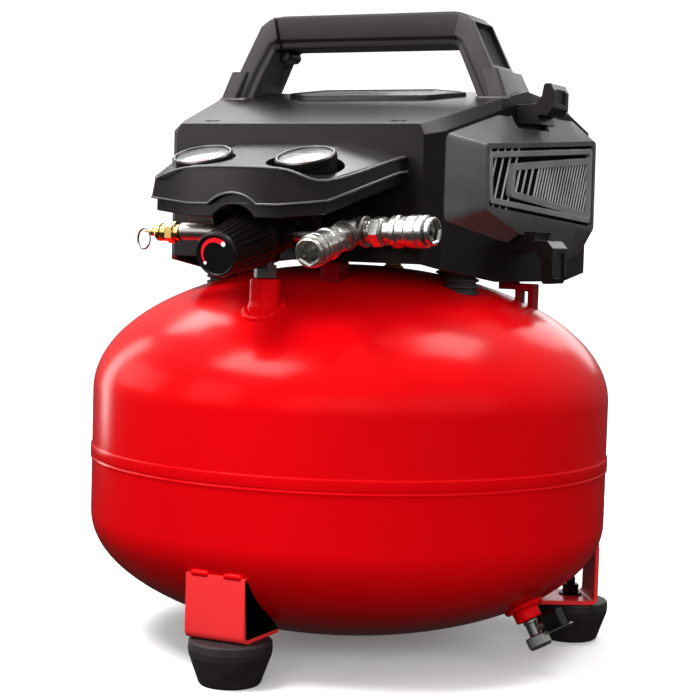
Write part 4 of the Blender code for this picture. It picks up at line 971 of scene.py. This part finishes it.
def build_console():
    shape = bmesh.new()
    lip, top = [ring_loop(shape, console_ring(points)) for points in (CONSOLE_LIP, CONSOLE_TOP)]
    bridge(shape, lip, top)
    x, y, z = CONSOLE_RIDGE
    right_ridge, left_ridge = [shape.verts.new((sign * x, y, z)) for sign in (1.0, -1.0)]
    for half, ridge in ((top[:4], right_ridge), (top[4:], left_ridge)):
        for near, far in zip(half, half[1:]):
            shape.faces.new([near, far, ridge])
    shape.faces.new([top[0], right_ridge, left_ridge, top[7]])
    shape.faces.new([top[3], top[4], left_ridge, right_ridge])
    shape.faces.new(lip)
    cowl = solid(shape)
    arch = basis((0.0, -0.2100, ARCH_Z), -CONSOLE_FRONT)
    tools = [placed(lathe(rod(ARCH_R, 0.0, 0.0700), 96), arch)]
    for side, wide in (("left", 0.0006), ("right", 0.0044)):
        well = [(0.0, -0.0140), (0.0214 + wide * 0.3, -0.0140), (0.0216 + wide, 0.0002),
                (0.0216 + wide * 1.6, 0.0200), (0.0, 0.0200)]
        tools.append(placed(lathe(well, 96), gauge_place(side)))
    groove = mm((45.5, -96, 364), (57, -108, 360), (65.5, -128, 353), (67, -145, 346.5))
    tools.append(sweep(curve_points(groove), 0.0011, 8))
    carved(cowl, *tools)
    show(cowl, "console_cowl", BLACK, replaces=["console"], edge=0.0017, steps=5)
    build_console_beads(CONSOLE_LIP[0][1])

    walls = ((0.0026, -0.0015), (0.0026, 0.0085), (0.0050, 0.0085), (0.0050, -0.0015))
    skirt = solid(loft([console_ring(CONSOLE_LIP, inset, drop) for inset, drop in walls], closed=True))
    carved(skirt, placed(lathe(rod(HOOD_R, 0.0, 0.0600), 96), arch))
    show(skirt, "console_skirt", BLACK, edge=0.0008)
    hood = ring_lathe([(HOOD_R, 0.0285), (0.0265, 0.0285), (0.0265, 0.0560), (HOOD_R, 0.0560)], 96)
    hood = solid(placed(hood, arch))
    carved(hood, box(mm((-40, 40), (-220, -100), (250, 315))))
    show(hood, "console_hood", BLACK, edge=0.0005, steps=2)


def build_console_beads(front_y):
    """Rolled edges in a lighter grey as painted highlight: one round the cowl's top, one along its lip and
    over the knob's arch.
    """
    crease = console_ring(CONSOLE_TOP)
    crease = [Vector(point) + Vector((0.0, 0.0006, -0.0004)) for point in crease[4:] + crease[:4]]
    right = [Vector(point) for point in CONSOLE_LIP]
    left = [Vector((-point.x, point.y, point.z)) for point in right]
    rise = right[0].z - ARCH_Z
    start = atan2(rise, sqrt(ARCH_R**2 - rise**2))
    angles = [start + (pi - 2.0 * start) * step / 24 for step in range(25)]
    arch = [Vector((ARCH_R * cos(angle), front_y, ARCH_Z + ARCH_R * sin(angle)))
            for angle in angles]
    lip = [point + Vector((0.0, 0.0006, 0.0004)) for point in right[::-1] + arch + left]
    beads = [sweep(path, 0.0009, 10) for path in (curve_points(crease, 6), lip)]
    # The lighter grey beads are painted highlight lines along the edges.
    piece("console_edge_beads", joined(*beads), HIGHLIGHT_EDGE_BLACK, smooth=60)


def gauge_place(side):
    """Gauge frame: Z points out of the dial, X to the right, origin on the needle's spindle."""
    point, axis = joint_line(f"needle_{side}_sweep")
    return basis(point, axis)


DIAL_R = 0.0172
DIAL_Z = 0.0007


def build_gauge(side, full_scale):
    place = gauge_place(side)
    case = mm((0, -15.3), (16.6, -15.3), (19.6, -12.3), (19.6, -0.1), (20.6, 0.9), (20.6, 4.7), (19.6, 5.7),
              (18.4, 5.7), (17.6, 4.7), (17.6, 0.1), (0, 0.1))
    piece("gauge_housing_" + side, turned(case, 0.0006, 96, place), BLACK,
          replaces=["gauge_case_" + side], smooth=40)
    trim = ring_lathe(mm((17.3, 3.5), (17.8, 4.3), (18.3, 4.3), (18.3, 3.1)), 96)
    piece("gauge_trim_" + side, placed(trim, place), DARK_STEEL)
    dial = placed(lathe(rod(DIAL_R, DIAL_Z - 0.0004, DIAL_Z), 64), place)
    piece("gauge_dial_" + side, dial, DIAL_WHITE)
    marks = []
    for step in range(31):
        long = step % 6 == 0
        inner, half = (DIAL_R - 0.0030, 0.00020) if long else (DIAL_R - 0.0019, 0.00010)
        tick = ((inner, DIAL_R - 0.0008), (-half, half), (DIAL_Z, DIAL_Z + 0.00012))
        marks.append(box(tick, place @ Matrix.Rotation(radians(225.0 - 9.0 * step), 4, "Z")))
    for step in range(6):
        spot = (*polar(DIAL_R - 0.0062, radians(225.0 - 54.0 * step)), DIAL_Z + 0.00005)
        marks.append(number(str(full_scale * step // 5), 0.0026, place @ Matrix.Translation(spot)))
    piece("gauge_marks_" + side, joined(*marks), INK)
    repaint("gauge_needle_" + side, NEEDLE_RED)
    repaint("gauge_lens_" + side, LENS)


def number(text, size, place):
    """Dial number as a flat mesh."""
    curve = bpy.data.curves.new("digits", "FONT")
    curve.body = text
    curve.size = size
    curve.extrude = 0.00005
    curve.align_x = "CENTER"
    curve.align_y = "CENTER"
    item = bpy.data.objects.new("digits", curve)
    bpy.context.collection.objects.link(item)
    mesh = bpy.data.meshes.new_from_object(item.evaluated_get(bpy.context.evaluated_depsgraph_get()))
    bpy.data.objects.remove(item, do_unlink=True)
    shape = bmesh.new()
    shape.from_mesh(mesh)
    bpy.data.meshes.remove(mesh)
    return placed(shape, place)


# ---- regulator and manifold
KNOB_LENGTH = 0.0500
KNOB_FLUTES = 26


def build_regulator():
    place = basis(*joint_line("knob_turn"))
    body = mm((0, -30), (12, -30), (16.5, -27.5), (17, -18), (16, -17.2), (16, -15), (17, -14.2), (17, -3),
              (15.5, -0.8), (10, -0.8), (10, 25), (0, 25))
    port = mm((0, 281.5), (9.2, 281.5), (9.8, 282.5), (9.8, 290.5), (12, 296), (0, 296))
    arm = mm((0, 0), (8.8, 0), (8.8, 21.5), (7.8, 22.5), (0, 22.5))
    shape = joined(turned(body, 0.0010, 64, place),
                   turned(port, 0.0006, 40, Matrix.Translation((0.0, RISER_Y, 0.0))),
                   *(turned(arm, 0.0006, 8, basis(PIPE_PLACE, way)) for way in (RIGHT, -RIGHT)))
    piece("regulator_housing", shape, BLACK, replaces=["regulator_body"], smooth=32)

    def flute(radius, height, angle):
        if height < 0.0040 or height > KNOB_LENGTH - 0.0050 or radius < 0.0130:
            return radius
        return radius - 0.00095 * max(0.0, cos(KNOB_FLUTES * angle))**0.6

    profile = mm((0, 26.2), (10.3, 26.2), (10.3, 0), (18.6, 0), (19.8, 1.2), (19.8, 3.9), (19.6, 5.2))
    profile += [(0.0194 - 0.0044 * step / 9.0, 0.0052 + 0.0394 * step / 9.0) for step in range(1, 9)]
    profile += mm((15.2, 44.6), (15.2, 47), (14.8, 48.6), (14.2, 49.7), (13.2, 50), (12.4, 49.4), (0, 49.4))
    piece("regulator_dial_knob", placed(lathe(profile, KNOB_FLUTES * 8, flute), place), BLACK,
          "regulator_knob", ["regulator_knob"], smooth=28)

    steps, radius = 36, 0.0098
    start, end = radians(213.0), radians(48.0)
    arc = []
    for edge, order in ((1.0, range(steps + 1)), (-1.0, range(steps, -1, -1))):
        for share in [step / steps for step in order]:
            arc.append(polar(radius + edge * (0.0005 + 0.0013 * share), start + (end - start) * share))
    arc = prism(arc, place, KNOB_LENGTH - 0.0008, KNOB_LENGTH - 0.0004)
    piece("knob_arc", arc, RED_INK, "regulator_knob")
    dots = []
    for angle, size in ((start, 0.0011), (end, 0.0016)):
        spot = (*polar(radius, angle), KNOB_LENGTH - 0.0008)
        dots.append(placed(lathe(rod(size, 0.0, 0.0006), 24), place @ Matrix.Translation(spot)))
    piece("knob_dots", joined(*dots), WHITE_INK, "regulator_knob")


PIPE_PLACE = Vector((0.0, RISER_Y, 0.2995))
TEE = Vector((0.0640, -0.1370, 0.3025))
COUPLER_MOUTH = 0.0455
RING_R = 0.0071


def build_manifold():
    front_axis, right_axis = [-joint_line(f"sleeve_{side}_slide")[1] for side in ("front", "right")]
    hub = mm((0, -12), (7, -12), (9.6, -9), (10, 0), (9.6, 10.5), (10.4, 11.2), (10.4, 13), (0, 13))
    branch = mm((0, 0), (8.6, 0), (8.6, 8.5), (10.4, 9.6), (10.4, 12), (0, 12))
    left_pipe = mm((0, 0), (5.9, 0), (5.9, 65.5), (5, 66.4), (0, 66.4))
    pipes = joined(turned(left_pipe, 0.0004, 40, basis(PIPE_PLACE, -RIGHT)),
                   turned(rod(0.0052, 0.0, 0.0640), 0.0004, 40, basis(PIPE_PLACE, RIGHT)),
                   turned(hub, 0.0012, 48, basis(TEE, front_axis)),
                   turned(branch, 0.0008, 48, basis(TEE, right_axis)))
    piece("manifold_pipes", pipes, CAST_NICKEL, replaces=["manifold"], smooth=34)

    low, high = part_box("riser_nipple")
    at = Matrix.Translation((0.0, RISER_Y, low[2]))
    nut = prism(polygon(0.0080, 6, radians(12.0)), at, 0.0, 0.0092)
    neck = placed(lathe(rod(0.0058, 0.0, high[2] - low[2]), 32), at)
    piece("riser_fitting", joined(nut, neck), MOTOR_STEEL, replaces=["riser_nipple"], edge=0.0005, steps=2)
    for side, axis, reach in (("front", front_axis, 0.0133), ("right", right_axis, 0.0123)):
        build_coupler(side, basis(TEE + axis * reach, axis))
    stem = mm((38, -135, 301), (38, -139, 312), (39, -147, 324), (39, -150, 333))
    stems = [sweep(curve_points([(sign * x, y, z) for x, y, z in stem], 6), 0.0042, 20)
             for sign in (1.0, -1.0)]
    piece("gauge_stems", joined(*stems), BLACK)


def build_coupler(side, place):
    """Quick coupler: hexagonal root nut and mouth, sliding sleeve with two collars, and snap ring."""
    def hexagon(radius, height, angle):
        turn = (angle + pi / 6.0) % (pi / 3.0) - pi / 6.0
        if 0.0050 < height < 0.0125 and radius > 0.0090:
            return radius * 0.93 / cos(turn)
        if height > COUPLER_MOUTH and radius < 0.0080:
            return radius * 0.96 / cos(turn)
        return radius

    def knurl(radius, height, angle):
        if radius < 0.0103 or not 0.0210 < height < 0.0245:
            return radius
        return radius - 0.0003 * max(0.0, cos(36.0 * angle))

    core = mm((0, 0), (7.4, 0), (7.4, 3), (6.6, 3.6), (6.6, 4.8), (9.8, 5.6), (9.8, 11.8), (8.4, 13),
              (8, 14), (8, 46), (9.4, 46.6), (9.4, 49.2), (8.6, 50), (7.6, 50), (6.4, 48.6), (6.4, 46),
              (5.8, 44), (5.8, 26), (0, 26))
    piece("coupler_core_" + side, turned(core, 0.0004, 96, place, hexagon), NICKEL,
          replaces=["coupler_body_" + side], smooth=34)
    sleeve = mm((8.4, 20), (10, 20), (10.7, 20.9), (10.7, 24.6), (9.9, 25.6), (9.9, 31.2), (10.4, 32),
                (10.7, 32.8), (10.7, 39), (9.8, 39.6), (9.8, 40.6), (10.7, 41.2), (10.7, 44.5), (10, 45.4),
                (8.4, 45.4))
    piece("coupler_collar_" + side, placed(ring_lathe(sleeve, 144, knurl), place), NICKEL, "sleeve_" + side,
          ["coupler_sleeve_" + side], smooth=30)
    wire = [(*polar(0.0087, radians(20 + 8 * step)), 0.0141) for step in range(41)]
    piece("coupler_snap_ring_" + side, placed(sweep(wire, 0.0005, 8), place), STEEL)


# ---- relief valve
def build_relief_valve():
    _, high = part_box("relief_valve")
    place = basis((high[0], RISER_Y, 0.2985), -RIGHT, UP)
    cap = mm((0, 9), (5.8, 9), (6.2, 10), (6.2, 12.4), (5.5, 13), (5.5, 14), (6.2, 14.6), (6.2, 17.2),
             (5, 18.8), (3, 19), (2.7, 18.6), (0, 18.6))
    shapes = (placed(lathe(rod(0.0054, 0.0, 0.0030), 32), place),
              turned(rod(0.0060, 0.0030, 0.0042), 0.0003, 32, place),
              prism(polygon(0.0075, 6), place, 0.0040, 0.0092),
              turned(cap, 0.0003, 40, place))
    piece("relief_valve_body", joined(*shapes), BRASS, replaces=["relief_valve"])

    hole, ring_axis = joint_line("ring_swing")
    stem = mm((0, 10), (2.2, 10), (2.2, 21.8), (2.9, 22.2), (2.9, 23.4), (1.8, 24.2), (0, 24.2))
    eye = eased(mm((-2.7, -2.3), (4.5, -2.3), (4.5, 2.3), (-2.7, 2.3)), 0.0016, 4, closed=True)
    tip = frame_ring(eye, polygon(0.0013, 20, -2.2), Matrix.Translation(hole), -0.0006, 0.0006)
    piece("relief_valve_stem", joined(turned(stem, 0.0003, 32, place), tip), BRASS,
          "relief_stem", ["relief_stem"])
    slant = RING_R * cos(radians(45.0))
    centre = hole + Quaternion(UP, radians(-21.0)) @ Vector((-slant, 0.0, -slant))
    loop = basis(centre, ring_axis)
    turns = []
    for share in [step / 112 for step in range(113)]:
        x, y = polar(RING_R, radians(30.0 + 630.0 * share))
        turns.append(loop @ Vector((x, y, 0.0011 * (share - 0.5))))
    piece("pull_ring", sweep(turns, 0.00052, 10), MOTOR_STEEL, "relief_ring", ["relief_ring"], smooth=60)


# ---- pressure switch
def build_pressure_switch():
    housing = solid(box(mm((-70, -44), (-123, -102), (306, 326))))
    carved(housing, box(mm((-72, -65), (-117.6, -106.4), (309.8, 324.2))))
    show(housing, "pressure_switch_case", BLACK, replaces=["pressure_switch"], edge=0.0014)
    pivot, _ = joint_line("rocker_tilt")
    outline = mm((1, -6), (-1.8, -6), (-3, -3.2), (-3.6, 0), (-4, 3.2), (-4.6, 6), (1, 6), (1.4, 0))
    rocker = prism(outline, Matrix.Translation(pivot) @ SIDEWAYS, -0.0050, 0.0050)
    piece("switch_rocker_cap", rocker, GLOSS_BLACK, "switch_rocker", ["switch_rocker"], edge=0.0005)


# ---- drain valve
def build_drain():
    pivot, out = joint_line("drain_turn")
    _, axis = bottom_point(*DRAIN_SPOT)

    def knurl(radius, height, angle):
        if height < 0.0112 or height > 0.0196 or radius < 0.0075:
            return radius
        return radius - 0.0003 * max(0.0, cos(30.0 * angle))

    body = mm((0, 0), (5.2, 0), (5.2, 2.2), (4.5, 2.6), (4.5, 10.8), (5.2, 11.2), (8, 11.4), (8.4, 12),
              (8.4, 18.4), (7.8, 19.2), (7, 20.4), (4, 20.4), (3.4, 19.6), (3.4, 12), (0, 12))
    shape = turned(body, 0.0004, 120, basis(pivot - axis * 0.0064, axis), knurl)
    piece("drain_valve_body", shape, STEEL, replaces=["drain_valve"], smooth=32)
    place = basis(pivot, out, axis)
    piece("drain_valve_neck", turned(rod(0.0030, 0.0040, 0.0100), 0.0004, 24, place), STEEL)
    block = eased(mm((-6.2, -6.4), (6.2, -6.4), (6.2, 6.4), (-6.2, 6.4)), 0.0018, 4, closed=True)
    levels = ((0.0103, 0.92), (0.0112, 1.0), (0.0170, 0.96), (0.0226, 1.0), (0.0236, 0.92))
    grip = loft([[place @ Vector((x * scale, y * scale, height)) for x, y in block]
                 for height, scale in levels])
    piece("drain_lever_grip", grip, BLACK, "drain_lever", ["drain_lever"], edge=0.0005)
    strip = box(mm((6.3, 7.6), (-3.6, 3.6), (9.8, 28.2)), place)
    piece("drain_lever_strip", strip, STEEL, "drain_lever", edge=0.0004, steps=2)


# ---- supports and inner parts
def build_supports():
    outline = mm((117, 243), (120.5, 241.6), (120.5, 263), (126.8, 263), (126.8, 239.5), (131, 238),
                 (131, 268.5), (116, 268.5), (116, 281.5), (104, 281.5), (104, 264), (117, 264))
    # The posts and the front bracket take the darker red, painted shade under the shroud.
    for side, sign in (("right", 1.0), ("left", -1.0)):
        post = prism([(sign * x, z) for x, z in outline], SIDEWAYS, 0.0275, 0.0405)
        piece("pump_post_" + side, post, SHADED_RED, replaces=["pump_bracket_" + side], edge=0.0009)
    _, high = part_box("pump_bracket_front")
    outline = [(0.0160, 0.2620), (0.0300, 0.2600), (0.0300, high[2]), (0.0160, high[2])]
    bracket = prism(outline, SIDEWAYS, -0.0870, -0.0690)
    piece("pump_front_bracket", bracket, SHADED_RED, replaces=["pump_bracket_front"], edge=0.0016)
    for side in ("right", "left", "back"):
        build_isolator(side)


def build_isolator(side):
    """Ribbed rubber mount."""
    low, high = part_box("isolator_" + side)
    radius = (high[0] - low[0]) / 2.0
    profile = [(0.0, low[2]), (radius - 0.0015, low[2])]
    rib = low[2] + 0.0010
    while rib < high[2] - 0.0030:
        profile += [(radius, rib), (radius, rib + 0.0016), (radius - 0.0024, rib + 0.0024),
                    (radius - 0.0024, rib + 0.0036)]
        rib += 0.0044
    profile += [(radius, high[2] - 0.0018), (radius, high[2]), (0.0, high[2])]
    centre = centre_of("isolator_" + side)
    shape = turned(profile, 0.0005, 48, Matrix.Translation((centre.x, centre.y, 0.0)))
    piece("rubber_isolator_" + side, shape, ISOLATOR, replaces=["isolator_" + side], smooth=34)


def repaint(node, material):
    """Gives a CAD node that stays shown a finished material."""
    item = frame["nodes"][node]
    for slot in item.material_slots:
        slot.link = "OBJECT"
        slot.material = material


def build_gland():
    low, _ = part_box("cord_gland")
    centre = centre_of("cord_gland")
    centre.y = low[1] - AXIS.y
    profile = mm((11, 0), (11, 2.6), (10, 3.6), (8.2, 4.2), (7.8, 6), (7.2, 6.4), (7.2, 7.4), (7.6, 7.8),
                 (7.4, 9.6), (6.8, 10), (6.8, 11), (7.2, 11.4), (7, 13.6), (6.4, 14), (4.2, 14), (4.2, 0))
    piece("cord_inlet_gland", placed(ring_lathe(profile, 40), basis(centre, -CONSOLE_FRONT)), RUBBER,
          replaces=["cord_gland"], smooth=40)


def paint_inner_parts():
    finishes = {
        ALUMINIUM: ("pump_frame", "flywheel", "connecting_rod", "piston", "cylinder", "cylinder_head"),
        MOTOR_STEEL: ("motor_can", "motor_rotor", "crankshaft"),
        RUBBER: ("drive_belt",),
        INNER_BLACK: ("cooling_fan",),
        BRASS: ("check_valve",),
        COPPER: ("outlet_tube",),
    }
    for material, nodes in finishes.items():
        for node in nodes:
            repaint(node, material)


# ---- stage, light and camera
def build_stage():
    """Pale floor, and a round cove that curves up from it into a wall on every side; both glow as painted
    light, dimmer near the middle.
    """
    nodes = Nodes("pale_cove", (0.86, 0.86, 0.86), 0.8)
    nodes.tint(nodes.noise(6.0, 2.0), 0.01)
    set_inputs(nodes.shader, {"Specular IOR Level": 0.1, "Emission Color": (1.0, 1.0, 1.0, 1.0)})
    # Painted light: the floor glows, dimmer near the object and brighter further out.
    reach = chained(nodes.tree, "VectorMath", nodes.coordinates, "Vector", "Value", operation="LENGTH")
    glow = {"From Min": 0.45, "From Max": 2.2, "To Min": 0.12, "To Max": 0.72}
    nodes.to_shader(chained(nodes.tree, "MapRange", reach, "Value", "Result", glow), "Emission Strength")
    flat = [(0.3 * step, 0.0) for step in range(9)]
    rise = flat[-1:]
    for step in range(1, 13):
        angle = pi / 2.0 * step / 12
        rise.append((2.4 + 0.9 * sin(angle), 0.9 - 0.9 * cos(angle)))
    rise.append((3.3, 3.2))
    wall = loft([circle(radius, height, 96) for radius, height in rise], caps=False)
    for name, shape in (("floor", lathe(flat, 96)), ("cove", wall)):
        item = solid(shape, name)
        item.location = -AXIS
        item.data.materials.append(nodes.material)
        item.data.shade_smooth()
        item.visible_diffuse = False
        item.visible_glossy = False


def add_light(name, place, size, power, glossy=True):
    """Area light placed from the camera's heading and aimed at the object's middle."""
    data = bpy.data.lights.new(name, "AREA")
    data.shape = "RECTANGLE"
    data.size, data.size_y = size
    data.energy = power
    item = bpy.data.objects.new(name, data)
    bpy.context.collection.objects.link(item)
    turn = Matrix.Rotation(CAMERA_AZIMUTH, 4, "Z")
    item.location = turn @ Vector(place)
    item.rotation_euler = (turn @ LIGHT_TARGET - item.location).to_track_quat("-Z", "Y").to_euler()
    item.visible_glossy = glossy


CAMERA_AZIMUTH = radians(26.0)
CAMERA_PLACE = Vector((0.5759, -1.1809, 0.3030))
CAMERA_PITCH = radians(-3.85)
CAMERA_ROLL = radians(1.70)
CAMERA_LENS = 90.8
CAMERA_SHIFT = -0.003
LIGHT_TARGET = Vector((0.0, 0.0, 0.25))
LIGHTS = (          # name, place, size, watts, seen in reflections
    ("key", (-0.64, -0.44, 1.20), (0.60, 0.36), 20.0, True),
    ("second", (0.60, 0.12, 1.45), (0.50, 0.40), 8.0, True),
    ("rear", (-0.35, 0.95, 1.30), (1.2, 0.5), 15.0, True),
    ("rear_right", (0.75, 1.15, 1.05), (0.60, 0.40), 1.8, True),
    ("left_rim", (-1.35, 1.15, 0.55), (0.30, 1.20), 5.0, True),
    ("back", (0.60, 1.75, 0.75), (1.2, 0.6), 5.0, True),
    ("left", (-1.75, 0.45, 0.70), (0.9, 0.6), 3.0, True),
    ("front_left", (-1.15, -0.68, 0.62), (0.55, 0.60), 2.8, True),
    ("front", (-0.20, -1.60, 0.60), (1.2, 0.6), 14.0, False),
    ("front_right", (1.00, -1.10, 0.60), (1.2, 0.6), 8.0, False),
)


def build_camera():
    data = bpy.data.cameras.new("camera")
    data.lens = CAMERA_LENS
    data.sensor_width = 36.0
    data.shift_x = CAMERA_SHIFT
    item = bpy.data.objects.new("camera", data)
    bpy.context.collection.objects.link(item)
    level = Vector((-CAMERA_PLACE.x, -CAMERA_PLACE.y, 0.0)).normalized()
    aim = level * cos(CAMERA_PITCH) + UP * sin(CAMERA_PITCH)
    item.location = CAMERA_PLACE + AXIS
    item.rotation_mode = "QUATERNION"
    item.rotation_quaternion = aim.to_track_quat("-Z", "Y") @ Quaternion((0.0, 0.0, 1.0), CAMERA_ROLL)
    bpy.context.scene.camera = item


def build_lights():
    """Studio world, brighter towards the top, with soft boxes round the object."""
    world = bpy.data.worlds.new("studio")
    world.use_nodes = True
    tree = world.node_tree
    direction = tree.nodes.new("ShaderNodeTexCoord").outputs["Generated"]
    height = chained(tree, "SeparateXYZ", direction, "Vector", "Z")
    glow = {"From Min": -0.15, "From Max": 1.0, "To Min": 0.03, "To Max": 0.80}
    strength = chained(tree, "MapRange", height, "Value", "Result", glow)
    background = tree.nodes["Background"]
    tree.links.new(strength, background.inputs["Strength"])
    background.inputs["Color"].default_value = (1.0, 1.0, 1.0, 1.0)
    bpy.context.scene.world = world
    bpy.context.scene.view_settings.view_transform = "Standard"
    for light in LIGHTS:
        add_light(*light)


build_camera()
build_tank()
for leg_name, leg_angle in LEG_ANGLES.items():
    build_leg(leg_name, leg_angle)
build_shroud()
build_handle()
build_right_cover()
build_left_cover()
build_hook("upper_cord_hook", 0.3905, 1.0, 0.0210, "cord_hook_top", 0.1485)
build_hook("lower_cord_hook", 0.2985, -1.0, 0.0290, "cord_hook_bottom", 0.1520)
build_console()
build_gauge("left", 200)
build_gauge("right", 150)
build_regulator()
build_manifold()
build_relief_valve()
build_pressure_switch()
build_drain()
build_supports()
build_gland()
paint_inner_parts()
build_stage()
build_lights()
